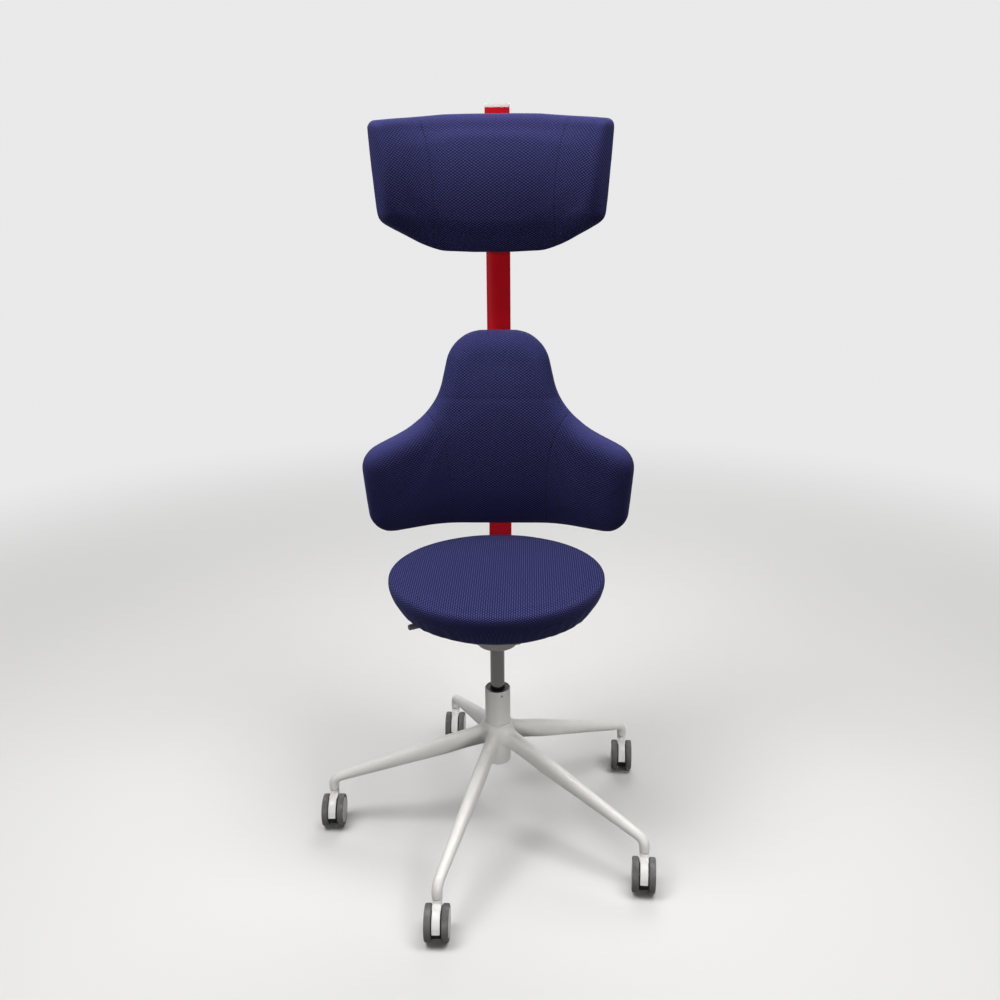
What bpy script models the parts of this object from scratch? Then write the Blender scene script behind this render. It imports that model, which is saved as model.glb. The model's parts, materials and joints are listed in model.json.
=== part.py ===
"""Swivel office chair: round seat, winged back pad and wide head pad on one upright bar.

The chair faces -Y, its gas lift stands on the Z axis and its wheels on Z = 0. Lengths are in metres.
Each sub-assembly is modelled in the frame of an empty that lies on the axis it moves on.
"""
import math

import bmesh
import bpy
from mathutils import Matrix, Vector

MM = 0.001
FIT = 0.3 * MM  # gap kept between pieces that seat or run on each other

# Twin-wheel casters
WHEEL_RADIUS = 32.5 * MM
WHEEL_WIDTH = 14 * MM
WHEEL_SIDES = 20  # the tread stands on one flat of this polygon
TREAD_ROUND = 2.4 * MM
WHEEL_DISC_RADIUS = 26.5 * MM
WHEEL_DISC_DOME = 1.2 * MM
WHEEL_GROOVE = 1.5 * MM
AXLE_RADIUS = 3 * MM
AXLE_REACH = 9 * MM
HOOD_WIDTH = 16 * MM
HOOD_SIDE_GAP = 0.8 * MM
HOOD_WALL = 3.5 * MM
HOOD_RISE = 0.6 * MM  # fender band above the treads
HOOD_LIP_ANGLE = math.radians(3)
CORE_RADIUS = 26.5 * MM  # lower half of the core between the wheels
CORE_STEPS = 12
CASTER_TRAIL = 16 * MM
CASTER_HEIGHT = 73 * MM
NECK_RADIUS = 9.2 * MM
NECK_FOOT_RADIUS = 8 * MM
NECK_HEIGHT = 6 * MM
NECK_GAP = 0.8 * MM
STEM_RADIUS = 5.5 * MM
STEM_IN_ARM = 20 * MM
STEM_IN_HOOD = 12 * MM
CASTER_HEADINGS = tuple(math.radians(angle) for angle in (1.0, 0.0, -5.0, -3.0, -1.0))

# Five-armed base
TIP_CIRCLE_RADIUS = 339 * MM
FIRST_ARM_ANGLE = math.radians(181.1)
ARM_ROOT_WIDTH = 29 * MM
ARM_ROOT_HEIGHT = 45 * MM
ARM_TIP_DIAMETER = 20 * MM
ARM_SLOPE = math.radians(18.7)
ARM_SQUARENESS = 0.7  # exponent of the section at the root, where 1 is round
ARM_SIDES = 12
ARM_STEPS = 4
ELBOW_STEPS = 4
ELBOW_RADIUS = 20 * MM
TIP_STRAIGHT = 10 * MM
HUB_RADIUS = 32 * MM
HUB_HEIGHT = 48 * MM
HUB_ROUND = 5 * MM

# Gas lift
TUBE_RADIUS = 25 * MM
TUBE_WALL = 2 * MM
TUBE_LENGTH = 165 * MM
TUBE_FOOT = 45 * MM  # tube below the hub
TUBE_ROUND = 3 * MM
TUBE_FLOOR = 4 * MM
BUSH_LENGTH = 60 * MM
BUSH_RECESS = 1.5 * MM
CYLINDER_RADIUS = 14 * MM
CYLINDER_CLEARANCE = 62 * MM  # cylinder foot above the rod's shoulder, with the seat as it stands
LIFT_SHOWN = 96 * MM  # chrome between the tube and the cover
ROD_RADIUS = 5 * MM
ROD_IN_CYLINDER = 70 * MM
ROD_SHOULDER_RADIUS = 10 * MM
ROD_SHOULDER = 4 * MM
BEARING_RADIUS = 13 * MM
BEARING_HEIGHT = 8 * MM
CLIP_RADIUS = 9 * MM
CLIP_HEIGHT = 2 * MM
BUTTON_RADIUS = 5 * MM
BUTTON_SHANK = 10 * MM
BUTTON_SHOWN = 6 * MM

# Mechanism under the seat
COVER_RADIUS = 45 * MM
COVER_FLAT_RADIUS = 34 * MM
COVER_HEIGHT = 21 * MM
COVER_WALL = 2.5 * MM
COVER_STEPS = 4
HOUSING_WIDTH = 104 * MM
HOUSING_FRONT = 50 * MM
HOUSING_REAR = 72 * MM
HOUSING_HEIGHT = 51 * MM
HOUSING_WALL = 3.5 * MM
HOUSING_CORNER = 16 * MM
SOCKET_RADIUS = 20 * MM
SOCKET_RISE = 24 * MM  # lift socket above the housing's floor
RECLINE_BACK = 98 * MM  # recline pin behind the lift
RECLINE_RISE = 24 * MM  # recline pin above the housing's underside
RECLINE_PIN_RADIUS = 6 * MM
RECLINE_EYE_RADIUS = 11 * MM
RECLINE_EAR = 9 * MM
LEVER_RADIUS = 4 * MM
LEVER_PIVOT = 36 * MM  # lever pivot beside the lift, on the sitter's right
LEVER_INNER = 37.5 * MM
LEVER_STRAIGHT = 36 * MM
LEVER_REACH = 124 * MM
LEVER_SWEEP = 52 * MM
LEVER_PIN_RADIUS = 2.5 * MM
LEVER_LUG = 5 * MM
LEVER_LUG_WIDTH = 11 * MM
LEVER_SWING = 4 * MM  # room over and under the lever in the housing's wall
GRIP_RADIUS = 5.8 * MM
GRIP_LENGTH = 52 * MM
GRIP_COVER = 6 * MM  # grip beyond the lever's end

# Seat
SEAT_RADIUS = 206 * MM
SEAT_THICKNESS = 65 * MM
SEAT_CROWN = 5 * MM
SEAT_SHOULDER = 13 * MM  # height of the rounded upper edge
SEAT_DRAW_IN = 26 * MM  # how far the side is drawn in at the foot
SEAT_SIDE_POWER = 1.3  # above 1, the side draws in faster near the foot
SEAT_STEPS = 5
PAN_RADIUS = 166 * MM
PAN_THICKNESS = 14 * MM
PAN_STEP = 8 * MM
SEAT_SIDES = 40

# Upright bar
BAR_WIDTH = 48 * MM
BAR_THICKNESS = 8 * MM
BAR_BACK = 289 * MM  # middle of the bar behind the lift
BAR_BEND = 150 * MM
BAR_HEIGHT = 945 * MM  # above the recline pin
CAP_HEIGHT = 6.5 * MM
CAP_ROUND = 1.2 * MM

# Carriages, which are alike for both pads
CARRIAGE_WIDTH = 68 * MM
CARRIAGE_WALL = 9 * MM
CARRIAGE_HEIGHT = 80 * MM
CARRIAGE_CORNER = 6 * MM
KNUCKLE_WIDTH = 37 * MM
KNUCKLE_RADIUS = 9 * MM
HINGE_PIN_RADIUS = 4 * MM
HINGE_REACH = 50 * MM  # hinge pin in front of the bar's middle
EAR_WIDTH = 8 * MM
KNOB_RADIUS = 21 * MM
KNOB_LOBE = 1.8 * MM
KNOB_LOBES = 6
KNOB_DEPTH = 18 * MM
KNOB_STAND = 4 * MM  # collar between knob and carriage
KNOB_COLLAR_RADIUS = 10 * MM
STUD_RADIUS = 4 * MM

# Pads
PAD_EDGE = 21 * MM
PAD_SQUARENESS = 0.62  # exponent of the rounded rim, where 1 is an ellipse
PAD_STATIONS = 10
PAD_ROWS = 8
PAD_RIM_STEPS = 6
PAD_RIM_SHARES = (0, 0.15, 0.4, 0.7, 1)  # rows through the rounded rim
PAD_LEAST_ROW = PAD_EDGE / 8
PAD_LEAST_RIM = PAD_EDGE / 50
SHELL_THICKNESS = 4 * MM
SHELL_STAND = 19 * MM  # hinge pin behind the shell's rear face
BACK_PIN_HEIGHT = 342 * MM  # back pad's hinge pin above the recline pin
HEAD_PIN_BELOW_BAR = 133 * MM  # head pad's hinge pin below the bar's upper end
HEAD_PIN_HEIGHT = BAR_HEIGHT - HEAD_PIN_BELOW_BAR  # above the recline pin

BACK_DROP = 210 * MM  # foot of the back pad below its hinge pin
BACK_HEIGHT = 400 * MM
BACK_THICKNESS = 50 * MM
BACK_CROWN = 4 * MM
BACK_FOOT_WIDTH = 510 * MM
BACK_WING_WIDTH = 532 * MM
BACK_WING_HEIGHT = 171 * MM
BACK_NECK_WIDTH = 252 * MM
BACK_NECK_HEIGHT = 229 * MM
BACK_TOP_WIDTH = 179 * MM
BACK_FOOT_ROUND = 44 * MM
BACK_WING_ROUND = 48 * MM
BACK_NECK_ROUND = 140 * MM
BACK_TOP_ROUND = 74 * MM
BACK_FLAT = 80 * MM
BACK_BEND = 80 * MM
BACK_WING_ANGLE = math.radians(28)
BACK_BOW_RADIUS = 900 * MM

HEAD_DROP = 125 * MM
HEAD_HEIGHT = 244 * MM
HEAD_THICKNESS = 50 * MM
HEAD_CROWN = 4 * MM
HEAD_FOOT_WIDTH = 222 * MM
HEAD_CHEEK_WIDTH = 402 * MM
HEAD_CHEEK_HEIGHT = 57 * MM
HEAD_BROW_WIDTH = 427 * MM
HEAD_BROW_HEIGHT = 232 * MM
HEAD_TOP_WIDTH = 160 * MM
HEAD_FOOT_ROUND = 150 * MM
HEAD_CHEEK_ROUND = 28 * MM
HEAD_BROW_ROUND = 15 * MM
HEAD_TOP_ROUND = 250 * MM
HEAD_FLAT = 80 * MM
HEAD_BEND = 100 * MM
HEAD_WING_ANGLE = math.radians(40)
HEAD_BOW_RADIUS = 500 * MM
HEAD_SHIFT = -8 * MM  # the head pad sits a little off the bar, to the sitter's right

# Heights that follow from the sizes above
AXLE_HEIGHT = WHEEL_RADIUS * math.cos(math.pi / WHEEL_SIDES)
ELBOW_TANGENT = ELBOW_RADIUS * math.tan((math.pi / 2 - ARM_SLOPE) / 2)
ELBOW_HEIGHT = CASTER_HEIGHT + TIP_STRAIGHT + ELBOW_TANGENT
HUB_MIDDLE = ELBOW_HEIGHT + TIP_CIRCLE_RADIUS * math.tan(ARM_SLOPE)
HUB_BOTTOM = HUB_MIDDLE - HUB_HEIGHT / 2
TUBE_BOTTOM = HUB_BOTTOM - TUBE_FOOT
TUBE_TOP = TUBE_BOTTOM + TUBE_LENGTH
BEARING_BOTTOM = TUBE_BOTTOM + TUBE_FLOOR + FIT
SHOULDER_BOTTOM = BEARING_BOTTOM + BEARING_HEIGHT + FIT
CYLINDER_BOTTOM = SHOULDER_BOTTOM + ROD_SHOULDER + CYLINDER_CLEARANCE
COVER_BOTTOM = TUBE_TOP + LIFT_SHOWN
HOUSING_BOTTOM = COVER_BOTTOM + COVER_HEIGHT + FIT
HOUSING_TOP = HOUSING_BOTTOM + HOUSING_HEIGHT
CYLINDER_TOP = HOUSING_BOTTOM + HOUSING_WALL + SOCKET_RISE
LEVER_HEIGHT = CYLINDER_TOP + BUTTON_SHOWN + FIT + LEVER_RADIUS
PAN_BOTTOM = HOUSING_TOP + FIT
SEAT_BOTTOM = PAN_BOTTOM + PAN_THICKNESS + FIT
RECLINE_HEIGHT = HOUSING_BOTTOM + RECLINE_RISE

FABRIC = ("knit_fabric", (0.030, 0.031, 0.110), 0.9, 0.0)
RED_PAINT = ("red_paint", (0.30, 0.008, 0.016), 0.3, 0.0)
WHITE_PAINT = ("white_paint", (0.78, 0.76, 0.72), 0.4, 0.0)
WHITE_PLASTIC = ("white_plastic", (0.76, 0.75, 0.73), 0.45, 0.0)
GREY_PLASTIC = ("grey_plastic", (0.30, 0.30, 0.30), 0.5, 0.0)
BLACK_PLASTIC = ("black_plastic", (0.018, 0.018, 0.019), 0.5, 0.0)
TREAD_RUBBER = ("tread_rubber", (0.16, 0.16, 0.16), 0.7, 0.0)
CHROME = ("chrome", (0.75, 0.75, 0.76), 0.1, 1.0)
STEEL = ("steel", (0.45, 0.45, 0.46), 0.35, 1.0)

PARTS = bpy.data.collections.new("office_chair")


def clear_scene():
    """Empty the scene and link the collection that the chair is built in."""
    for obj in list(bpy.data.objects):
        bpy.data.objects.remove(obj, do_unlink=True)
    bpy.context.scene.collection.children.link(PARTS)


def finish(kind):
    """Material of a finish, made once and then reused."""
    name, colour, roughness, metallic = kind
    material = bpy.data.materials.get(name)
    if material is None:
        material = bpy.data.materials.new(name)
        material.use_nodes = True
        shader = material.node_tree.nodes["Principled BSDF"]
        shader.inputs["Base Color"].default_value = (*colour, 1.0)
        shader.inputs["Roughness"].default_value = roughness
        shader.inputs["Metallic"].default_value = metallic
    return material


def axis_empty(name, parent, location=(0, 0, 0), turn=0.0):
    """Empty on a joint's axis, which the pieces that move on it are parented to."""
    empty = bpy.data.objects.new(name, None)
    PARTS.objects.link(empty)
    empty.parent = parent
    empty.location = location
    empty.rotation_euler.z = turn
    return empty


def add_piece(name, mesh, kind, parent, location=(0, 0, 0), rotation=(0, 0, 0)):
    """One named piece of the chair with its own finish."""
    piece = bpy.data.objects.new(name, mesh)
    PARTS.objects.link(piece)
    piece.parent = parent
    piece.location = location
    piece.rotation_euler = rotation
    if not mesh.materials:
        mesh.materials.append(finish(kind))
    if mesh.polygons:
        mesh.shade_smooth()
        mesh.set_sharp_from_angle(angle=math.radians(35))
    return piece


def add_turned(name, profile, kind, parent, sides, location=(0, 0, 0), rotation=(0, 0, 0), ring=False):
    """Piece turned about its Z axis from (radius, height) points that run down its outer side."""
    count = len(profile)
    edges = [(k, k + 1) for k in range(count - 1)]
    if ring:
        edges.append((count - 1, 0))
    mesh = bpy.data.meshes.new(name)
    mesh.from_pydata([(radius, 0, height) for radius, height in profile], edges, [])
    piece = add_piece(name, mesh, kind, parent, location, rotation)
    screw = piece.modifiers.new("turn", "SCREW")
    screw.steps = sides
    screw.render_steps = sides
    screw.use_merge_vertices = True
    screw.merge_threshold = 0.00001
    screw.use_smooth_shade = True
    return piece


def mesh_from(form):
    """Plain mesh from a bmesh, with its faces turned outward."""
    bmesh.ops.recalc_face_normals(form, faces=form.faces)
    mesh = bpy.data.meshes.new("form")
    form.to_mesh(mesh)
    form.free()
    return mesh


def box(low, high, round_edges=0.0, upright_only=False):
    """Box between two corners, with rounded edges where asked."""
    form = bmesh.new()
    low, high = Vector(low), Vector(high)
    place = Matrix.Translation((low + high) / 2) @ Matrix.Diagonal((*(high - low), 1))
    bmesh.ops.create_cube(form, size=1, matrix=place)
    if round_edges:
        edges = form.edges[:]
        if upright_only:
            edges = [e for e in edges if abs(e.verts[0].co.z - e.verts[1].co.z) > round_edges]
        bmesh.ops.bevel(form, geom=edges, offset=round_edges, segments=3, profile=0.5, affect="EDGES")
    return mesh_from(form)


def rod(start, end, radius, end_radius=None, sides=16, round_ends=0.0):
    """Round rod or cone between two points, with rounded ends where asked."""
    start, end = Vector(start), Vector(end)
    along = end - start
    place = Matrix.Translation((start + end) / 2) @ along.to_track_quat("Z", "Y").to_matrix().to_4x4()
    form = bmesh.new()
    top = radius if end_radius is None else end_radius
    bmesh.ops.create_cone(form, cap_ends=True, segments=sides, radius1=radius, radius2=top,
                          depth=along.length, matrix=place)
    if round_ends:
        rims = [edge for edge in form.edges if any(len(face.verts) > 4 for face in edge.link_faces)]
        bmesh.ops.bevel(form, geom=rims, offset=round_ends, segments=2, profile=0.5, affect="EDGES")
    return mesh_from(form)


def baked(obj):
    """Mesh of an object as evaluated, welded; the object is removed."""
    graph = bpy.context.evaluated_depsgraph_get()
    mesh = bpy.data.meshes.new_from_object(obj.evaluated_get(graph))
    bpy.data.objects.remove(obj, do_unlink=True)
    form = bmesh.new()
    form.from_mesh(mesh)
    bmesh.ops.remove_doubles(form, verts=form.verts, dist=0.000001)
    form.to_mesh(mesh)
    form.free()
    return mesh


def outline_slab(loops, low, high):
    """Slab with a flat outline, and holes in it, in local XY from one height to another."""
    curve = bpy.data.curves.new("outline", "CURVE")
    curve.dimensions = "2D"
    curve.fill_mode = "BOTH"
    curve.extrude = (high - low) / 2
    for loop in loops:
        spline = curve.splines.new("POLY")
        spline.points.add(len(loop) - 1)
        spline.use_cyclic_u = True
        for point, (x, y) in zip(spline.points, loop):
            point.co = (x, y, 0, 1)
    carrier = bpy.data.objects.new("outline", curve)
    PARTS.objects.link(carrier)
    mesh = baked(carrier)
    mesh.transform(Matrix.Translation((0, 0, (low + high) / 2)))
    return mesh


def standing(mesh):
    """Turn a slab so that its local X, Y and thickness lie along world Y, Z and X."""
    mesh.transform(Matrix(((0, 0, 1, 0), (1, 0, 0, 0), (0, 1, 0, 0), (0, 0, 0, 1))))
    return mesh


def combine(body, join=(), cut=()):
    """Mesh of a body with others joined to it and then others cut from it."""
    base = bpy.data.objects.new("body", body)
    PARTS.objects.link(base)
    helpers = []
    for operation, meshes in (("UNION", join), ("DIFFERENCE", cut)):
        for mesh in meshes:
            helper = bpy.data.objects.new("helper", mesh)
            PARTS.objects.link(helper)
            helpers.append(helper)
            modifier = base.modifiers.new(operation.lower(), "BOOLEAN")
            modifier.operation = operation
            modifier.object = helper
    result = baked(base)
    for helper in helpers:
        bpy.data.objects.remove(helper, do_unlink=True)
    return result


def loft(rings, split=False):
    """Closed skin over a row of rings with the same number of points, in triangles if split."""
    form = bmesh.new()
    rows = [[form.verts.new(point) for point in ring] for ring in rings]
    for low, high in zip(rows, rows[1:]):
        for k in range(len(low)):
            form.faces.new((low[k - 1], low[k], high[k], high[k - 1]))
    if split:
        bmesh.ops.triangulate(form, faces=form.faces, quad_method="FIXED")
    form.faces.new(reversed(rows[0]))
    form.faces.new(rows[-1])
    return mesh_from(form)


def arc(centre, radius, start, end, steps):
    """Points on a circle from one angle to another."""
    angles = [start + (end - start) * k / steps for k in range(steps + 1)]
    return [(centre[0] + radius * math.cos(a), centre[1] + radius * math.sin(a)) for a in angles]


def circle(centre, radius, sides=16):
    """Closed circle of points."""
    return arc(centre, radius, 0, math.tau, sides)[:-1]


def rounded_path(corners, steps=5):
    """Path through (x, y, radius) corners with each inner corner rounded to its radius."""
    points = [Vector(corners[0][:2])]
    for before, here, after in zip(corners, corners[1:], corners[2:]):
        corner = Vector(here[:2])
        back = (Vector(before[:2]) - corner).normalized()
        ahead = (Vector(after[:2]) - corner).normalized()
        half = back.angle(ahead) / 2
        centre = corner + (back + ahead).normalized() * here[2] / math.sin(half)
        reach = here[2] / math.tan(half)
        first = corner + back * reach - centre
        last = corner + ahead * reach - centre
        turn = first.angle_signed(last)
        for k in range(steps + 1):
            spoke = first.copy()
            spoke.rotate(Matrix.Rotation(-turn * k / steps, 2))
            points.append(centre + spoke)
    points.append(Vector(corners[-1][:2]))
    return points


def rounded_rectangle(width, depth, radius):
    """Closed rectangle of points about the origin, with round corners."""
    x, y = width / 2 - radius, depth / 2 - radius
    points = []
    for quarter, centre in enumerate(((x, y), (-x, y), (-x, -y), (x, -y))):
        start = quarter * math.pi / 2
        points += arc(centre, radius, start, start + math.pi / 2, 4)
    return points


# Casters

def wheel_profile():
    """Half section of a wheel about its axle, from its outer face (top) to its bore."""
    face = WHEEL_WIDTH
    rim = (WHEEL_DISC_RADIUS + WHEEL_RADIUS) / 2
    depth = AXLE_REACH + FIT
    return [
        (0, face),
        (WHEEL_DISC_RADIUS, face - WHEEL_DISC_DOME),
        (WHEEL_DISC_RADIUS + WHEEL_GROOVE / 2, face - WHEEL_DISC_DOME - WHEEL_GROOVE),
        (rim, face - WHEEL_DISC_DOME),
        (WHEEL_RADIUS, face - WHEEL_DISC_DOME - TREAD_ROUND),
        (WHEEL_RADIUS, TREAD_ROUND),
        (WHEEL_RADIUS - TREAD_ROUND, 0),
        (AXLE_RADIUS + FIT, 0),
        (AXLE_RADIUS + FIT, depth),
        (0, depth),
    ]


def hood_mesh():
    """Caster hood about its stem axis: fender band and neck; it trails along +X."""
    outer = WHEEL_RADIUS + HOOD_RISE
    inner = outer - HOOD_WALL
    neck_left = -CASTER_TRAIL - NECK_FOOT_RADIUS
    neck_right = -CASTER_TRAIL + NECK_FOOT_RADIUS
    neck_top = CASTER_HEIGHT - NECK_GAP
    shoulder = neck_top - NECK_HEIGHT - AXLE_HEIGHT
    crown_angle = math.acos(neck_right / outer)
    outline = arc((0, 0), outer, HOOD_LIP_ANGLE, crown_angle, 12)
    outline += [(neck_right, shoulder), (neck_left, shoulder)]
    outline += arc((0, 0), inner, math.acos(neck_left / inner), HOOD_LIP_ANGLE, 12)
    body = outline_slab([outline], -HOOD_WIDTH / 2, HOOD_WIDTH / 2)
    body.transform(Matrix.Rotation(math.pi / 2, 4, "X"))
    body.transform(Matrix.Translation((CASTER_TRAIL, 0, AXLE_HEIGHT)))
    neck_foot = (0, 0, neck_top - 1.5 * NECK_HEIGHT)
    neck = rod(neck_foot, (0, 0, neck_top), NECK_FOOT_RADIUS, NECK_RADIUS)
    stem_foot = (0, 0, CASTER_HEIGHT - STEM_IN_HOOD - FIT)
    stem_bore = rod(stem_foot, (0, 0, CASTER_HEIGHT), STEM_RADIUS + FIT, sides=12)
    return combine(body, join=[neck], cut=[stem_bore])


def core_mesh():
    """Core between the wheels about the axle: it fills the hood's arch and holds the axle."""
    arch = WHEEL_RADIUS + HOOD_RISE - HOOD_WALL - 2 * FIT
    rear = math.acos((-CASTER_TRAIL - NECK_FOOT_RADIUS) / arch)
    outline = arc((0, 0), arch, HOOD_LIP_ANGLE, rear, CORE_STEPS)
    outline += arc((0, 0), CORE_RADIUS, rear, HOOD_LIP_ANGLE + math.tau, CORE_STEPS)
    bore = circle((0, 0), AXLE_RADIUS + FIT, 12)
    mesh = outline_slab([outline, bore], -HOOD_WIDTH / 2, HOOD_WIDTH / 2)
    mesh.transform(Matrix.Rotation(math.pi / 2, 4, "X"))
    return mesh


def build_casters(chair):
    """Five casters, each on the stem in its arm's tip, all trailing toward the front."""
    hood = hood_mesh()
    core = core_mesh()
    stem_foot = (0, 0, CASTER_HEIGHT - STEM_IN_HOOD)
    stem = rod(stem_foot, (0, 0, CASTER_HEIGHT + STEM_IN_ARM), STEM_RADIUS, sides=12)
    wheel_inner = HOOD_WIDTH / 2 + HOOD_SIDE_GAP
    axle_half = wheel_inner + AXLE_REACH
    axle = rod((0, -axle_half, 0), (0, axle_half, 0), AXLE_RADIUS, sides=12)
    flat_turn = math.pi / WHEEL_SIDES
    for index, heading in enumerate(CASTER_HEADINGS):
        number = index + 1
        angle = FIRST_ARM_ANGLE + index * math.tau / len(CASTER_HEADINGS)
        place = (TIP_CIRCLE_RADIUS * math.cos(angle), TIP_CIRCLE_RADIUS * math.sin(angle), 0)
        add_piece(f"caster_stem_{number}", stem, STEEL, chair, place)
        swivel = axis_empty(f"caster_{number}", chair, place, heading - math.pi / 2)
        add_piece(f"caster_hood_{number}", hood, WHITE_PLASTIC, swivel)
        axle_place = (CASTER_TRAIL, 0, AXLE_HEIGHT)
        add_piece(f"caster_core_{number}", core, BLACK_PLASTIC, swivel, axle_place)
        add_piece(f"caster_axle_{number}", axle, STEEL, swivel, axle_place)
        for side, sign in (("left", 1), ("right", -1)):
            wheel_place = (CASTER_TRAIL, sign * wheel_inner, AXLE_HEIGHT)
            tilt = (-sign * math.pi / 2, flat_turn, 0)
            add_turned(f"wheel_{side}_{number}", wheel_profile(), TREAD_RUBBER, swivel, WHEEL_SIDES,
                       wheel_place, tilt)


# Base

def arm_stations():
    """Middle line of an arm with its slope and its half width and height, from the hub to the tip."""
    stations = []
    slope = Vector((math.cos(ARM_SLOPE), -math.sin(ARM_SLOPE)))
    elbow = Vector((TIP_CIRCLE_RADIUS, ELBOW_HEIGHT))
    straight_end = elbow - slope * ELBOW_TANGENT
    start_radius = HUB_RADIUS / 2
    tip = ARM_TIP_DIAMETER / 2
    for k in range(ARM_STEPS + 1):
        share = k / ARM_STEPS
        radius = start_radius + (straight_end.x - start_radius) * share
        height = ELBOW_HEIGHT + (TIP_CIRCLE_RADIUS - radius) * math.tan(ARM_SLOPE)
        half_width = ARM_ROOT_WIDTH / 2 + (tip - ARM_ROOT_WIDTH / 2) * share
        half_height = ARM_ROOT_HEIGHT / 2 + (tip - ARM_ROOT_HEIGHT / 2) * share
        stations.append((radius, height, ARM_SLOPE, half_width, half_height))
    centre = (TIP_CIRCLE_RADIUS - ELBOW_RADIUS, ELBOW_HEIGHT - ELBOW_TANGENT)
    for k in range(1, ELBOW_STEPS + 1):
        fall = ARM_SLOPE + (math.pi / 2 - ARM_SLOPE) * k / ELBOW_STEPS
        radius = centre[0] + ELBOW_RADIUS * math.sin(fall)
        height = centre[1] + ELBOW_RADIUS * math.cos(fall)
        stations.append((radius, height, fall, tip, tip))
    stations.append((TIP_CIRCLE_RADIUS, CASTER_HEIGHT, math.pi / 2, tip, tip))
    return stations


def arm_mesh(angle):
    """One tapering arm: rounded-square section at the hub, round at the down-turned tip."""
    rings = []
    for index, (radius, height, fall, half_width, half_height) in enumerate(arm_stations()):
        power = ARM_SQUARENESS + (1 - ARM_SQUARENESS) * min(1, index / (ARM_STEPS + 1))
        ring = []
        for k in range(ARM_SIDES):
            a = math.tau * (k + 0.5) / ARM_SIDES
            side = half_width * math.copysign(abs(math.cos(a)) ** power, math.cos(a))
            rise = half_height * math.copysign(abs(math.sin(a)) ** power, math.sin(a))
            ring.append((radius + rise * math.sin(fall), side, height + rise * math.cos(fall)))
        rings.append(ring)
    mesh = loft(rings)
    mesh.transform(Matrix.Rotation(angle, 4, "Z"))
    return mesh


def build_base(chair):
    """Star base: hub, five arms, bore for the lift tube and a socket for each caster's stem."""
    top = HUB_BOTTOM + HUB_HEIGHT
    hub = rod((0, 0, HUB_BOTTOM), (0, 0, top), HUB_RADIUS, sides=32, round_ends=HUB_ROUND)
    arms = []
    cuts = [rod((0, 0, HUB_BOTTOM - HUB_HEIGHT), (0, 0, top + HUB_HEIGHT), TUBE_RADIUS + FIT, sides=32)]
    for index in range(len(CASTER_HEADINGS)):
        angle = FIRST_ARM_ANGLE + index * math.tau / len(CASTER_HEADINGS)
        arms.append(arm_mesh(angle))
        tip = Matrix.Rotation(angle, 3, "Z") @ Vector((TIP_CIRCLE_RADIUS, 0, CASTER_HEIGHT))
        depth = Vector((0, 0, STEM_IN_ARM + FIT))
        cuts.append(rod(tip - depth, tip + depth, STEM_RADIUS + FIT, sides=12))
    add_piece("base_star", combine(hub, join=arms, cut=cuts), WHITE_PAINT, chair)


# Gas lift

def build_lift_tube(chair):
    """Outer tube with the guide bush in its mouth and the thrust bearing on its floor."""
    bore = TUBE_RADIUS - TUBE_WALL
    rod_hole = ROD_RADIUS + FIT
    add_turned("column_tube", [
        (bore, TUBE_TOP),
        (TUBE_RADIUS, TUBE_TOP),
        (TUBE_RADIUS, TUBE_BOTTOM + TUBE_ROUND),
        (TUBE_RADIUS - TUBE_ROUND, TUBE_BOTTOM),
        (rod_hole, TUBE_BOTTOM),
        (rod_hole, TUBE_BOTTOM + TUBE_FLOOR),
        (bore, TUBE_BOTTOM + TUBE_FLOOR),
    ], WHITE_PAINT, chair, 32, ring=True)
    bush_top = TUBE_TOP - BUSH_RECESS
    add_turned("guide_bush", [
        (CYLINDER_RADIUS + FIT, bush_top),
        (bore - FIT, bush_top),
        (bore - FIT, bush_top - BUSH_LENGTH),
        (CYLINDER_RADIUS + FIT, bush_top - BUSH_LENGTH),
    ], BLACK_PLASTIC, chair, 32, ring=True)
    add_turned("thrust_bearing", [
        (rod_hole, BEARING_BOTTOM + BEARING_HEIGHT),
        (BEARING_RADIUS, BEARING_BOTTOM + BEARING_HEIGHT),
        (BEARING_RADIUS, BEARING_BOTTOM),
        (rod_hole, BEARING_BOTTOM),
    ], STEEL, chair, 20, ring=True)


def build_lift_rod(swivel):
    """Piston rod that turns on the bearing, and the clip that holds it under the tube."""
    rod_top = CYLINDER_BOTTOM + ROD_IN_CYLINDER
    rod_foot = TUBE_BOTTOM - 2 * CLIP_HEIGHT
    shoulder_top = SHOULDER_BOTTOM + ROD_SHOULDER
    add_turned("piston_rod", [
        (0, rod_top),
        (ROD_RADIUS, rod_top),
        (ROD_RADIUS, shoulder_top),
        (ROD_SHOULDER_RADIUS, shoulder_top),
        (ROD_SHOULDER_RADIUS, SHOULDER_BOTTOM),
        (ROD_RADIUS, SHOULDER_BOTTOM),
        (ROD_RADIUS, rod_foot),
        (0, rod_foot),
    ], STEEL, swivel, 16)
    clip_top = TUBE_BOTTOM - FIT
    add_turned("rod_clip", [
        (ROD_RADIUS + FIT, clip_top),
        (CLIP_RADIUS, clip_top),
        (CLIP_RADIUS, clip_top - CLIP_HEIGHT),
        (ROD_RADIUS + FIT, clip_top - CLIP_HEIGHT),
    ], STEEL, swivel, 16, ring=True)


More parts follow.
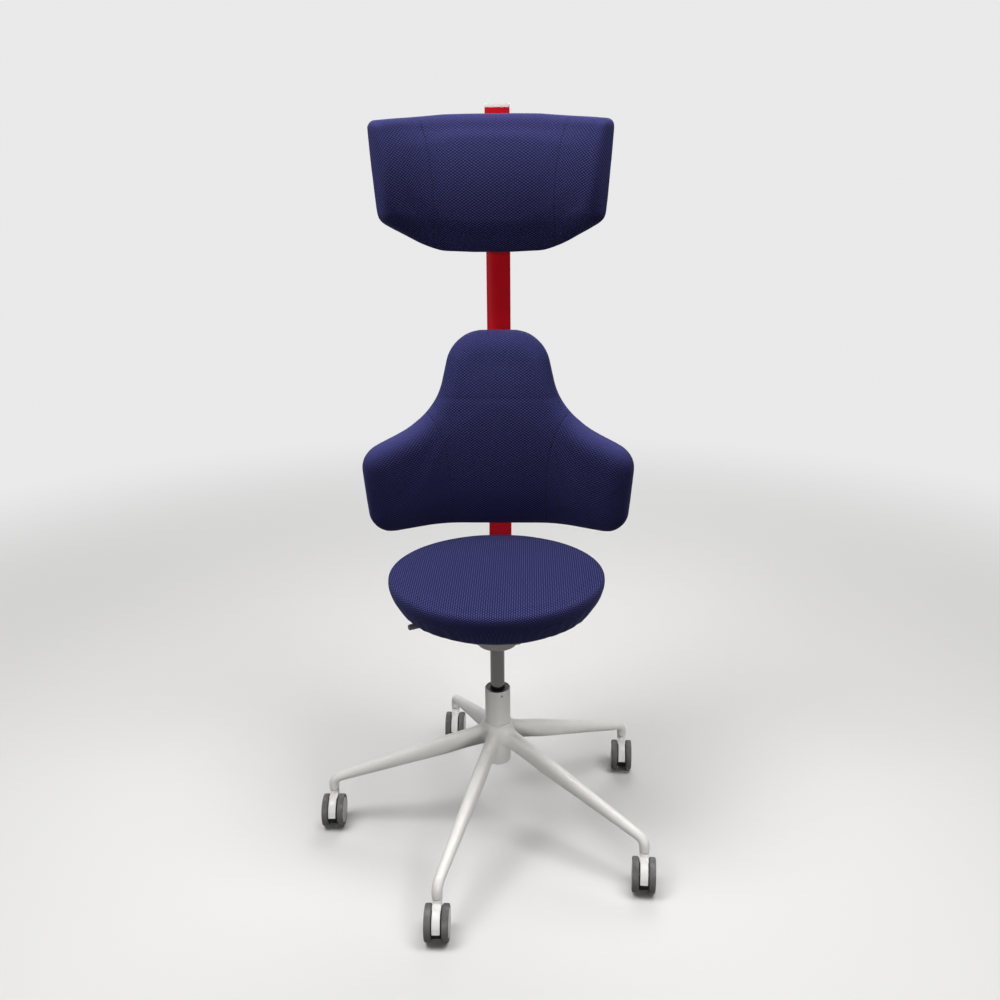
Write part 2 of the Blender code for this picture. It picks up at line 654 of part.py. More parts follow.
def build_cylinder(seat):
    """Chrome cylinder: bored from below for the rod and from above for the release button."""
    rod_bore = ROD_RADIUS + FIT
    rod_bore_top = CYLINDER_BOTTOM + ROD_IN_CYLINDER + CYLINDER_CLEARANCE
    button_bore = BUTTON_RADIUS + FIT
    button_floor = CYLINDER_TOP - BUTTON_SHANK
    add_turned("lift_cylinder", [
        (0, button_floor),
        (button_bore, button_floor),
        (button_bore, CYLINDER_TOP),
        (CYLINDER_RADIUS, CYLINDER_TOP),
        (CYLINDER_RADIUS, CYLINDER_BOTTOM),
        (rod_bore, CYLINDER_BOTTOM),
        (rod_bore, rod_bore_top),
        (0, rod_bore_top),
    ], CHROME, seat, 32)


# Mechanism

def dish_side(flat, rim, low, high):
    """Quarter-round side of a dish from its rim down to the edge of its flat, as (radius, height) points."""
    turns = [math.pi / 2 * k / COVER_STEPS for k in range(COVER_STEPS + 1)]
    return [(flat + (rim - flat) * math.cos(a), high - (high - low) * math.sin(a)) for a in turns]


def build_cover(seat):
    """Shallow round cover under the housing, open at the top, with a hole for the lift socket."""
    top = COVER_BOTTOM + COVER_HEIGHT
    floor = COVER_BOTTOM + COVER_WALL
    hole = SOCKET_RADIUS + FIT
    outside = dish_side(COVER_FLAT_RADIUS, COVER_RADIUS, COVER_BOTTOM, top)
    inside = dish_side(COVER_FLAT_RADIUS, COVER_RADIUS - COVER_WALL, floor, top)
    profile = outside + [(hole, COVER_BOTTOM), (hole, floor)] + inside[::-1]
    add_turned("mechanism_cover", profile, GREY_PLASTIC, seat, 32, ring=True)


def recline_ear(low, high):
    """Rounded ear behind the housing that holds the recline pin."""
    foot = HOUSING_REAR - HOUSING_WALL
    pin = (RECLINE_BACK, RECLINE_HEIGHT)
    outline = arc(pin, RECLINE_EYE_RADIUS, -math.pi / 2, math.pi / 2, 8)
    outline += [(foot, HOUSING_TOP - HOUSING_WALL), (foot, HOUSING_BOTTOM + HOUSING_WALL / 2)]
    return standing(outline_slab([outline], low, high))


def lever_lug(sign):
    """Lug on the housing's floor that holds one end of the lever's pivot."""
    near, far = LEVER_RADIUS + FIT, LEVER_RADIUS + FIT + LEVER_LUG
    half = LEVER_LUG_WIDTH / 2
    low = (-LEVER_PIVOT - half, min(sign * near, sign * far), HOUSING_BOTTOM + HOUSING_WALL / 2)
    high = (-LEVER_PIVOT + half, max(sign * near, sign * far), LEVER_HEIGHT + LEVER_RADIUS)
    return box(low, high)


def build_housing(seat):
    """Open pressed housing between lift and seat, with the lift socket, lever lugs and recline ears."""
    half = HOUSING_WIDTH / 2
    wall = HOUSING_WALL
    body = box((-half, -HOUSING_FRONT, HOUSING_BOTTOM), (half, HOUSING_REAR, HOUSING_TOP),
               HOUSING_CORNER, True)
    hollow = box((-half + wall, -HOUSING_FRONT + wall, HOUSING_BOTTOM + wall),
                 (half - wall, HOUSING_REAR - wall, HOUSING_TOP + wall), HOUSING_CORNER - wall, True)
    tray = combine(body, cut=[hollow])
    socket = rod((0, 0, COVER_BOTTOM + COVER_WALL), (0, 0, CYLINDER_TOP), SOCKET_RADIUS, sides=24)
    eye_half = BAR_WIDTH / 2 + FIT
    ears = [recline_ear(eye_half, eye_half + RECLINE_EAR), recline_ear(-eye_half - RECLINE_EAR, -eye_half)]
    lugs = [lever_lug(1), lever_lug(-1)]
    pin_half = eye_half + RECLINE_EAR + wall
    pivot_half = LEVER_RADIUS + 2 * LEVER_LUG
    cuts = [
        rod((0, 0, COVER_BOTTOM), (0, 0, HOUSING_TOP), CYLINDER_RADIUS + FIT, sides=32),
        rod((-pin_half, RECLINE_BACK, RECLINE_HEIGHT), (pin_half, RECLINE_BACK, RECLINE_HEIGHT),
            RECLINE_PIN_RADIUS + FIT),
        rod((-LEVER_PIVOT, -pivot_half, LEVER_HEIGHT), (-LEVER_PIVOT, pivot_half, LEVER_HEIGHT),
            LEVER_PIN_RADIUS + FIT, sides=12),
        box((-half - wall, -LEVER_RADIUS - LEVER_SWING, LEVER_HEIGHT - LEVER_RADIUS - LEVER_SWING),
            (-half + 2 * wall, LEVER_RADIUS + LEVER_SWING, HOUSING_TOP + wall)),
    ]
    housing = combine(tray, join=[socket, *ears, *lugs], cut=cuts)
    add_piece("mechanism_housing", housing, BLACK_PLASTIC, seat)
    pin_end = eye_half + RECLINE_EAR
    add_piece("recline_pin", rod((-pin_end, 0, 0), (pin_end, 0, 0), RECLINE_PIN_RADIUS), STEEL, seat,
              (0, RECLINE_BACK, RECLINE_HEIGHT))


def build_lever(seat):
    """Height lever on its pivot: bent rod with trunnions, and the grip over its outer end."""
    lever = axis_empty("lever_axis", seat, (-LEVER_PIVOT, 0, LEVER_HEIGHT))
    bend = Vector((-LEVER_STRAIGHT, 0, 0))
    end = Vector((-LEVER_REACH, -LEVER_SWEEP, 0))
    outward = (end - bend).normalized()
    curve = bpy.data.curves.new("lever_route", "CURVE")
    curve.dimensions = "3D"
    curve.bevel_depth = LEVER_RADIUS
    curve.bevel_resolution = 2
    curve.use_fill_caps = True
    route = [(LEVER_INNER, 0, 0), bend - Vector((-LEVER_RADIUS, 0, 0)), bend + outward * LEVER_RADIUS, end]
    spline = curve.splines.new("POLY")
    spline.points.add(len(route) - 1)
    for point, place in zip(spline.points, route):
        point.co = (*place, 1)
    carrier = bpy.data.objects.new("lever_route", curve)
    PARTS.objects.link(carrier)
    trunnion_half = LEVER_RADIUS + LEVER_LUG
    trunnion = rod((0, -trunnion_half, 0), (0, trunnion_half, 0), LEVER_PIN_RADIUS, sides=12)
    add_piece("height_lever", combine(baked(carrier), join=[trunnion]), STEEL, lever)
    bore = LEVER_RADIUS + FIT
    depth = GRIP_LENGTH - GRIP_COVER
    tip = GRIP_RADIUS - GRIP_COVER / 3
    lip = (bore + GRIP_RADIUS) / 2
    grip_turn = Vector((0, 0, 1)).rotation_difference(outward).to_euler()
    add_turned("lever_grip", [
        (0, GRIP_LENGTH),
        (tip, GRIP_LENGTH),
        (GRIP_RADIUS, GRIP_LENGTH - GRIP_COVER / 3),
        (GRIP_RADIUS, GRIP_RADIUS - lip),
        (lip, 0),
        (bore, 0),
        (bore, depth),
        (0, depth),
    ], GREY_PLASTIC, lever, 16, end - outward * (depth - FIT), grip_turn)


def build_button(seat):
    """Release button in the top of the lift, just under the lever."""
    button = axis_empty("button_axis", seat, (0, 0, CYLINDER_TOP))
    stroke = BUTTON_SHANK / 2
    add_turned("release_button", [
        (0, BUTTON_SHOWN),
        (BUTTON_RADIUS, BUTTON_SHOWN),
        (BUTTON_RADIUS, -stroke),
        (0, -stroke),
    ], STEEL, button, 12)


# Seat

def seat_profile():
    """Half section of the seat cushion: crowned top, rounded shoulder and drawn-in side."""
    edge = SEAT_THICKNESS - SEAT_CROWN
    waist = edge - SEAT_SHOULDER
    shoulder_in = SEAT_RADIUS - SEAT_SHOULDER
    crown = [(shoulder_in * k / 4, SEAT_THICKNESS - SEAT_CROWN * (k / 4) ** 2) for k in range(4)]
    shoulder = arc((shoulder_in, waist), SEAT_SHOULDER, math.pi / 2, 0, SEAT_STEPS)
    foot_radius = SEAT_RADIUS - SEAT_DRAW_IN
    side = []
    for k in range(1, SEAT_STEPS):
        turn = math.pi / 2 * k / SEAT_STEPS
        reach = foot_radius + SEAT_DRAW_IN * math.cos(turn) ** SEAT_SIDE_POWER
        side.append((reach, waist * (1 - math.sin(turn))))
    return crown + shoulder + side + [(foot_radius, 0), (0, 0)]


def build_seat(seat):
    """Round cushion on a dished pan that is fastened on the housing."""
    top = PAN_BOTTOM + PAN_THICKNESS
    add_turned("seat_pan", [
        (0, top),
        (PAN_RADIUS, top),
        (PAN_RADIUS, top - PAN_THICKNESS + PAN_STEP),
        (PAN_RADIUS - PAN_STEP, PAN_BOTTOM + PAN_STEP / 3),
        (PAN_RADIUS - 4 * PAN_STEP, PAN_BOTTOM),
        (0, PAN_BOTTOM),
    ], BLACK_PLASTIC, seat, SEAT_SIDES)
    add_turned("seat_cushion", seat_profile(), FABRIC, seat, SEAT_SIDES, (0, 0, SEAT_BOTTOM))


# Upright bar

def build_bar(recline):
    """Flat bar with a rolled eye on the recline pin, swept up behind the seat, and its end cap."""
    half = BAR_THICKNESS / 2
    back = BAR_BACK - RECLINE_BACK
    bend_centre = (back - BAR_BEND, BAR_BEND)
    lip = math.asin(half / RECLINE_EYE_RADIUS)
    outline = [(back - half, BAR_HEIGHT)]
    outline += arc(bend_centre, BAR_BEND - half, 0, -math.pi / 2, 12)
    outline += arc((0, 0), RECLINE_EYE_RADIUS, lip, math.tau - lip, 12)
    outline += arc(bend_centre, BAR_BEND + half, -math.pi / 2, 0, 12)
    outline += [(back + half, BAR_HEIGHT)]
    eye = circle((0, 0), RECLINE_PIN_RADIUS + FIT)
    bar = standing(outline_slab([outline, eye], -BAR_WIDTH / 2, BAR_WIDTH / 2))
    add_piece("upright_bar", bar, RED_PAINT, recline)
    low = (-BAR_WIDTH / 2, back - half, BAR_HEIGHT + FIT)
    high = (BAR_WIDTH / 2, back + half, BAR_HEIGHT + FIT + CAP_HEIGHT)
    add_piece("bar_cap", box(low, high, CAP_ROUND), WHITE_PLASTIC, recline)


# Carriages and knobs

def carriage_mesh():
    """Sleeve round the bar: knuckle in front for the pad's hinge pin, hole behind for the knob's stud."""
    slot = BAR_THICKNESS + 2 * FIT
    depth = slot + 2 * CARRIAGE_WALL
    half = CARRIAGE_HEIGHT / 2
    slot_half_width = BAR_WIDTH / 2 + FIT
    hole = [(-slot_half_width, -slot / 2), (slot_half_width, -slot / 2),
            (slot_half_width, slot / 2), (-slot_half_width, slot / 2)]
    sleeve = outline_slab([rounded_rectangle(CARRIAGE_WIDTH, depth, CARRIAGE_CORNER), hole], -half, half)
    root = -slot / 2 - CARRIAGE_WALL / 2
    knuckle = arc((-HINGE_REACH, 0), KNUCKLE_RADIUS, math.pi / 2, 3 * math.pi / 2, 8)
    knuckle += [(root, -2 * KNUCKLE_RADIUS), (root, 2 * KNUCKLE_RADIUS)]
    arm = standing(outline_slab([knuckle], -KNUCKLE_WIDTH / 2, KNUCKLE_WIDTH / 2))
    pin_bore = rod((-KNUCKLE_WIDTH, -HINGE_REACH, 0), (KNUCKLE_WIDTH, -HINGE_REACH, 0),
                   HINGE_PIN_RADIUS + FIT, sides=12)
    stud_bore = rod((0, 0, 0), (0, depth, 0), STUD_RADIUS + FIT, sides=12)
    return combine(sleeve, join=[arm], cut=[pin_bore, stud_bore])


def knob_mesh():
    """Lobed clamp knob about its Y axis: collar and stud in front, with the stud's tip at the origin."""
    stand = CARRIAGE_WALL + FIT
    grip_start = stand + KNOB_STAND
    steps = KNOB_LOBES * 6
    outline = []
    for k in range(steps):
        a = math.tau * k / steps
        radius = KNOB_RADIUS - KNOB_LOBE + KNOB_LOBE * math.cos(KNOB_LOBES * a)
        outline.append((radius * math.cos(a), radius * math.sin(a)))
    grip = outline_slab([outline], grip_start, grip_start + KNOB_DEPTH)
    grip.transform(Matrix.Rotation(-math.pi / 2, 4, "X"))
    collar = rod((0, stand + FIT, 0), (0, grip_start + KNOB_STAND, 0), KNOB_COLLAR_RADIUS)
    stud = rod((0, 0, 0), (0, grip_start + KNOB_STAND, 0), STUD_RADIUS, sides=12)
    return combine(grip, join=[collar, stud])


# Pads

class PadForm:
    """Middle surface of a pad: straight in the middle, wings turned forward, bowed in its height."""

    def __init__(self, flat, bend, wing_angle, bow_radius, drop, shift=0.0):
        self.flat = flat
        self.turn_radius = bend / wing_angle
        self.wing_angle = wing_angle
        self.bend_reach = flat + self.turn_radius * math.sin(wing_angle)
        self.bend_end = flat + bend
        self.bow_radius = bow_radius
        self.drop = drop
        self.shift = shift

    def along(self, reach):
        """Distance along the middle line at which it has reached so far to the side."""
        if reach <= self.flat:
            return reach
        if reach <= self.bend_reach:
            return self.flat + self.turn_radius * math.asin((reach - self.flat) / self.turn_radius)
        return self.bend_end + (reach - self.bend_reach) / math.cos(self.wing_angle)

    def point(self, along, depth, height):
        """Place of a point so far along the middle line, behind it and above the pad's foot."""
        side = math.copysign(1, along)
        run = abs(along)
        angle = min(max(run - self.flat, 0) / self.turn_radius, self.wing_angle)
        past = max(run - self.bend_end, 0)
        reach = min(run, self.flat) + self.turn_radius * math.sin(angle) + past * math.cos(angle)
        ahead = self.turn_radius * (1 - math.cos(angle)) + past * math.sin(angle)
        above = height - self.drop
        bow = self.bow_radius - math.sqrt(self.bow_radius ** 2 - above ** 2)
        aside = self.shift + side * (reach + depth * math.sin(angle))
        return (aside, bow - ahead + depth * math.cos(angle), height)


def half_width_at(outline, height):
    """Half width of a pad's outline at a height, from its points in rising order."""
    for low, high in zip(outline, outline[1:]):
        if low.y <= height <= high.y and high.y > low.y:
            return low.x + (high.x - low.x) * (height - low.y) / (high.y - low.y)
    return outline[-1].x


def stations(inner):
    """Even places along a pad's section between its rounded ends, from right to left."""
    return [inner * (1 - 2 * k / PAD_STATIONS) for k in range(PAD_STATIONS + 1)]


def pad_rows(form, outline):
    """Rows of a pad from foot to top: height, half length along the section, and swell of the rim."""
    top = outline[-1].y
    heights = {point.y for point in outline} | {top * k / PAD_ROWS for k in range(1, PAD_ROWS)}
    for share in PAD_RIM_SHARES:
        heights |= {PAD_EDGE * share, top - PAD_EDGE * share}
    rows = []
    for height in sorted(heights):
        if rows and height - rows[-1][0] < PAD_LEAST_ROW:
            continue
        rim = max(min(height, top - height, PAD_EDGE), PAD_LEAST_RIM)
        swell = (1 - (1 - rim / PAD_EDGE) ** (2 / PAD_SQUARENESS)) ** (PAD_SQUARENESS / 2)
        half = max(form.along(half_width_at(outline, height)), 2 * PAD_EDGE)
        rows.append((height, half, swell))
    return rows


def cushion_mesh(form, outline, thickness, crown):
    """Cushion with rounded rims and a gently crowned front, lofted from its foot to its top."""
    rings = []
    for height, half, swell in pad_rows(form, outline):
        inner = half - PAD_EDGE
        depth = thickness / 2 * swell
        ring = []
        for sign in (1, -1):
            for k in range(1, PAD_RIM_STEPS):
                turn = math.pi * (k / PAD_RIM_STEPS - 0.5)
                out = math.cos(turn) ** PAD_SQUARENESS
                back = math.copysign(abs(math.sin(turn)) ** PAD_SQUARENESS, turn)
                ring.append((sign * (inner + PAD_EDGE * out), sign * depth * back))
            for run in stations(sign * inner):
                bulge = 0 if sign > 0 else crown * swell * (1 - (run / inner) ** 2)
                ring.append((run, sign * (depth + bulge)))
        rings.append([form.point(along, back, height) for along, back in ring])
    return loft(rings, split=True)


def sheet_mesh(form, outline, front, rear):
    """Shell sheet between two depths that lies flat against the back of a cushion."""
    rings = []
    for height, half, swell in pad_rows(form, outline):
        if swell == 1:
            places = stations(half - PAD_EDGE)
            ring = [(run, front) for run in places] + [(run, rear) for run in reversed(places)]
            rings.append([form.point(along, back, height) for along, back in ring])
    return loft(rings, split=True)


def shell_ear(sign):
    """Ear behind a pad's shell that holds one end of the hinge pin, in the pin's frame."""
    near = KNUCKLE_WIDTH / 2 + FIT
    low, high = sorted((sign * near, sign * (near + EAR_WIDTH)))
    root = -SHELL_STAND - SHELL_THICKNESS / 2
    outline = arc((0, 0), KNUCKLE_RADIUS, -math.pi / 2, math.pi / 2, 8)
    outline += [(root, 2 * KNUCKLE_RADIUS), (root, -2 * KNUCKLE_RADIUS)]
    return standing(outline_slab([outline], low, high))


def build_pad(name, tilt, form, outline, thickness, crown):
    """Cushion and shell of a pad, in the frame of its hinge pin."""
    rear = thickness / 2 + FIT
    middle = -SHELL_STAND - SHELL_THICKNESS - rear
    place = (0, middle, -form.drop)
    add_piece(f"{name}_cushion", cushion_mesh(form, outline, thickness, crown), FABRIC, tilt, place)
    sheet = sheet_mesh(form, outline, rear, rear + SHELL_THICKNESS)
    sheet.transform(Matrix.Translation(place))
    bore = rod((-KNUCKLE_WIDTH, 0, 0), (KNUCKLE_WIDTH, 0, 0), HINGE_PIN_RADIUS + FIT, sides=12)
    shell = combine(sheet, join=[shell_ear(1), shell_ear(-1)], cut=[bore])
    add_piece(f"{name}_shell", shell, BLACK_PLASTIC, tilt)


def back_outline():
    """Right half of the back pad's outline: bell shape with a wing at its foot."""
    return rounded_path([
        (0, 0, 0),
        (BACK_FOOT_WIDTH / 2, 0, BACK_FOOT_ROUND),
        (BACK_WING_WIDTH / 2, BACK_WING_HEIGHT, BACK_WING_ROUND),
        (BACK_NECK_WIDTH / 2, BACK_NECK_HEIGHT, BACK_NECK_ROUND),
        (BACK_TOP_WIDTH / 2, BACK_HEIGHT, BACK_TOP_ROUND),
        (0, BACK_HEIGHT, 0),
    ])


def head_outline():
    """Right half of the head pad's outline: wide brow, cut-away cheeks and a narrow foot."""
    return rounded_path([
        (0, 0, 0),
        (HEAD_FOOT_WIDTH / 2, 0, HEAD_FOOT_ROUND),
        (HEAD_CHEEK_WIDTH / 2, HEAD_CHEEK_HEIGHT, HEAD_CHEEK_ROUND),
        (HEAD_BROW_WIDTH / 2, HEAD_BROW_HEIGHT, HEAD_BROW_ROUND),
        (HEAD_TOP_WIDTH / 2, HEAD_HEIGHT, HEAD_TOP_ROUND),
        (0, HEAD_HEIGHT, 0),
    ])


def build_carriage(name, recline, pin_height):
    """Carriage on the bar with its clamp knob and hinge pin; returns the empty that the pad tilts on."""
    back = BAR_BACK - RECLINE_BACK
    slide = axis_empty(f"{name}_slide", recline, (0, back, pin_height))
    add_piece(f"{name}_carriage", carriage_mesh(), BLACK_PLASTIC, slide)
    pin_half = KNUCKLE_WIDTH / 2 + FIT + EAR_WIDTH
    pin = rod((-pin_half, 0, 0), (pin_half, 0, 0), HINGE_PIN_RADIUS, sides=12)
    add_piece(f"{name}_pin", pin, STEEL, slide, (0, -HINGE_REACH, 0))
    knob = axis_empty(f"{name}_knob_axis", slide, (0, BAR_THICKNESS / 2 + FIT, 0))
    add_piece(f"{name}_knob", knob_mesh(), BLACK_PLASTIC, knob)
    return axis_empty(f"{name}_tilt", slide, (0, -HINGE_REACH, 0))


def main():
    """Build the whole chair."""
    clear_scene()
    chair = axis_empty("chair", None)
    build_casters(chair)
    build_base(chair)
    build_lift_tube(chair)
    swivel = axis_empty("swivel", chair)
    build_lift_rod(swivel)
    seat = axis_empty("seat", swivel)
    build_cylinder(seat)
    build_cover(seat)
    build_housing(seat)
    build_lever(seat)
    build_button(seat)
    build_seat(seat)
    recline = axis_empty("recline", seat, (0, RECLINE_BACK, RECLINE_HEIGHT))
    build_bar(recline)
    back_form = PadForm(BACK_FLAT, BACK_BEND, BACK_WING_ANGLE, BACK_BOW_RADIUS, BACK_DROP)
    back_tilt = build_carriage("back", recline, BACK_PIN_HEIGHT)
    build_pad("back", back_tilt, back_form, back_outline(), BACK_THICKNESS, BACK_CROWN)
    head_form = PadForm(HEAD_FLAT, HEAD_BEND, HEAD_WING_ANGLE, HEAD_BOW_RADIUS, HEAD_DROP, HEAD_SHIFT)
    head_tilt = build_carriage("head", recline, HEAD_PIN_HEIGHT)
    build_pad("head", head_tilt, head_form, head_outline(), HEAD_THICKNESS, HEAD_CROWN)


main()
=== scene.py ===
"""Looks of the swivel office chair: finer pieces and finishes laid over its fixed CAD frame.

The chair faces -Y, its gas lift stands on the Z axis and its wheels on Z = 0. Lengths are in metres. Each
sub-assembly is a class that builds its pieces where they stand, dresses them and seats them on their body.
"""

from __future__ import annotations

import json
import logging
import math
from dataclasses import dataclass
from enum import Enum
from functools import cache
from typing import Callable, Sequence

import bmesh
import bpy
import numpy as np
from mathutils import Matrix, Vector
from mathutils.bvhtree import BVHTree

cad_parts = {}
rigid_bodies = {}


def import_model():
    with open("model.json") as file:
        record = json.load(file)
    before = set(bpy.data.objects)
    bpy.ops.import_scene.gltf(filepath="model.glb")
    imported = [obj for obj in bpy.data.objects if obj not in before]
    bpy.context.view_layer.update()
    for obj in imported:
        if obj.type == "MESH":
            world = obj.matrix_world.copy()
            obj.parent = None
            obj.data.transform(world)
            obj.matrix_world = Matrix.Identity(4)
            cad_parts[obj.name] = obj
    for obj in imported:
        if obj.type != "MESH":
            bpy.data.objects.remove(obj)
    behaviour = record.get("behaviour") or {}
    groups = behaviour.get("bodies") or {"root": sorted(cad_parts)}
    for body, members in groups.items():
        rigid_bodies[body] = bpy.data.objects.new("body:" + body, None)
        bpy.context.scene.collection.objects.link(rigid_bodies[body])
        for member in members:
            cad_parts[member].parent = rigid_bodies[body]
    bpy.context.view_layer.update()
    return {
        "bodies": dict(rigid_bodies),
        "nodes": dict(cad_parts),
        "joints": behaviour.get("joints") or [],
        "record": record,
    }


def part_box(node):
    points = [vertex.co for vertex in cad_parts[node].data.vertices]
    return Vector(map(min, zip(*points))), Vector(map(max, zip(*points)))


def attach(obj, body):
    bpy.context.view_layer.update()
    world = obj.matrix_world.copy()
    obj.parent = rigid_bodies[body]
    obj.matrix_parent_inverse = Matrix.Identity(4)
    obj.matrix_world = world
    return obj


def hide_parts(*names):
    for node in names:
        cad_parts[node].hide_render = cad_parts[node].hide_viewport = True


LOG = logging.getLogger("office_chair")
CLOTH_MAP = "cloth"
MM = 0.001
FIT = 0.3 * MM
TINY = 1e-6

Point2 = tuple[float, float]
Point3 = tuple[float, float, float]
Corner = Colour = Point3
Shade = tuple[float, float, float, float]
Socket = bpy.types.NodeSocket
Array = np.ndarray
Feeds = dict[str | int, object]
Mesh = bpy.types.Mesh
Node = bpy.types.Node
Tree = bpy.types.NodeTree


class Slot(Enum):
    """Material slots of the chair's record."""

    KNIT = "knit_fabric"
    RED = "red_paint"
    STAR = "white_paint"
    TUBE = "white_tube"
    WHITE = "white_plastic"
    GREY = "grey_plastic"
    BLACK = "black_plastic"
    TREAD = "tread_rubber"
    CHROME = "chrome"
    STEEL = "steel"


class Side(Enum):
    """Side of a caster, seen by the sitter."""

    LEFT = 1
    RIGHT = -1


# Node trees

@dataclass(frozen=True)
class Graph:
    """Short hand for adding and wiring nodes in one node tree."""

    tree: Tree

    def add(self, kind: str, feeds: Feeds | None = None, **settings: object) -> Node:
        """Add a node and wire it.

        Args:
            kind: Type name of the node.
            feeds: Socket or value for its inputs, by their names or places.
            settings: Properties of the node.

        Returns:
            The new node.
        """
        node = self.tree.nodes.new(kind)
        for name, value in settings.items():
            setattr(node, name, value)
        self.wire(node, feeds or {})
        return node

    def wire(self, node: Node, feeds: Feeds) -> None:
        """Wire inputs of a node to sockets, or set their values, by their names or places."""
        for key, value in feeds.items():
            self.feed(node.inputs[key], value)

    def feed(self, socket: Socket, value: object) -> None:
        """Wire a socket to another one, or set its value.

        Args:
            socket: Input socket.
            value: Output socket to wire to it, or a plain value.
        """
        if isinstance(value, Socket):
            self.tree.links.new(value, socket)
        else:
            socket.default_value = value

    def split(self, vector: Socket) -> list[Socket]:
        """Take a vector apart into its three numbers."""
        return list(self.add("ShaderNodeSeparateXYZ", {0: vector}).outputs)

    def join(self, *numbers: Socket) -> Socket:
        """Put up to three numbers together as a vector."""
        return self.add("ShaderNodeCombineXYZ", dict(enumerate(numbers))).outputs[0]

    def math(self, operation: str, *values: object) -> Socket:
        """Work out one operation on sockets or numbers."""
        return self.add("ShaderNodeMath", dict(enumerate(values)), operation=operation).outputs[0]

    def mix(self, share: object, first: object, second: object) -> Socket:
        """Mix two colours by the share of the second."""
        return self.add("ShaderNodeMix", {0: share, 6: first, 7: second}, data_type="RGBA").outputs[2]

    def choose(self, share: object, first: object, second: object) -> Socket:
        """Mix two numbers by the share of the second."""
        return self.add("ShaderNodeMix", {0: share, 2: first, 3: second}, data_type="FLOAT").outputs[0]

    def noise(self, spot: Socket, scale: object, detail: float) -> Socket:
        """Noise from 0 to 1, by its waves per metre and its octaves of finer noise."""
        feeds = {"Vector": spot, "Scale": scale, "Detail": detail}
        return self.add("ShaderNodeTexNoise", feeds).outputs[0]

    def ease(self, value: Socket, low: object, high: object) -> Socket:
        """Rise smoothly from 0 to 1 where a value goes from low to high."""
        feeds = {0: value, 1: low, 2: high}
        return self.add("ShaderNodeMapRange", feeds, interpolation_type="SMOOTHSTEP").outputs[0]

    def emboss(self, shader: Node, height: Socket, depth: float) -> None:
        """Give a shader a fine relief, in which a height of 1 stands for the depth."""
        bump = self.add("ShaderNodeBump", {"Distance": depth, "Height": height})
        self.feed(shader.inputs["Normal"], bump.outputs[0])

    def use(self, group: Tree, **values: object) -> Node:
        """Add a shader group with sockets or values for its named inputs."""
        return self.add("ShaderNodeGroup", values, node_tree=group)


def new_group(
    name: str, inputs: dict[str, str], outputs: dict[str, str], kind: str = "ShaderNodeTree"
) -> tuple[Graph, Node, Node]:
    """Start a node group.

    Args:
        name: Name of the group.
        inputs: Kind of each named input.
        outputs: Kind of each named output.
        kind: Type name of the group's tree.

    Returns:
        The group's graph, and its input and output nodes.
    """
    tree = bpy.data.node_groups.new(name, kind)
    for way, sockets in (("INPUT", inputs), ("OUTPUT", outputs)):
        for label, sort in sockets.items():
            tree.interface.new_socket(name=label, in_out=way, socket_type=f"NodeSocket{sort}")
    graph = Graph(tree)
    return graph, graph.add("NodeGroupInput"), graph.add("NodeGroupOutput")


# Values of the shader groups, with scales in waves per metre
NOISE_DETAIL = 3.0
LOOP_EDGES: Point2 = (-0.5, 0.85)  # where on its waves a loop starts to rise, and where it is full
LOOP_STRANDS: Point2 = (2.0, 4.0)  # strands in a loop, across it and along it
STRAND_DEPTH = 0.14
FLECK_SCALE = 420.0
CLOUD_SHARE = 0.03  # scale of the clouds, as a share of the grain's
CLOUD_EDGES: Point2 = (0.3, 0.7)
DUST_FACING: Point2 = (0.1, 0.95)  # upward part of the normal where dust starts, and where it is full
DUST_SCALE = 55.0
DUST_DETAIL = 5.0
DUST_EDGES: Point2 = (0.42, 0.72)


@cache
def knit_group() -> Tree:
    """Shader group of a spacer knit: staggered loops of strands, in ribbed columns.

    Returns:
        The group's tree.
    """
    graph, start, end = new_group(
        "knit_weave",
        {"Place": "Vector", "Pitch": "Float", "Course": "Float", "Rib": "Float"},
        {"Loop": "Float", "Relief": "Float", "Fleck": "Float"},
    )
    value = start.outputs
    side, height, _ = graph.split(value["Place"])
    across = graph.math("DIVIDE", side, value["Pitch"])
    along = graph.math("DIVIDE", height, value["Course"])
    waves = [graph.math("COSINE", graph.math("MULTIPLY", run, math.tau)) for run in (across, along)]
    loop = graph.ease(graph.math("MULTIPLY", *waves), *LOOP_EDGES)
    column = graph.math("MULTIPLY", waves[0], waves[0])
    wale = graph.math("MULTIPLY", graph.math("SUBTRACT", 1.0, column), value["Rib"])
    loop = graph.math("MULTIPLY", loop, graph.math("SUBTRACT", 1.0, wale))
    lay = graph.math("MULTIPLY", along, LOOP_STRANDS[1])
    lay = graph.math("MULTIPLY_ADD", across, LOOP_STRANDS[0], lay)
    strand = graph.math("SINE", graph.math("MULTIPLY", lay, math.tau))
    strand = graph.math("MULTIPLY_ADD", strand, STRAND_DEPTH, 1 - STRAND_DEPTH)
    relief = graph.math("MULTIPLY", loop, strand)
    fleck = graph.noise(value["Place"], FLECK_SCALE, NOISE_DETAIL)
    graph.wire(end, {"Loop": loop, "Relief": relief, "Fleck": fleck})
    return graph.tree


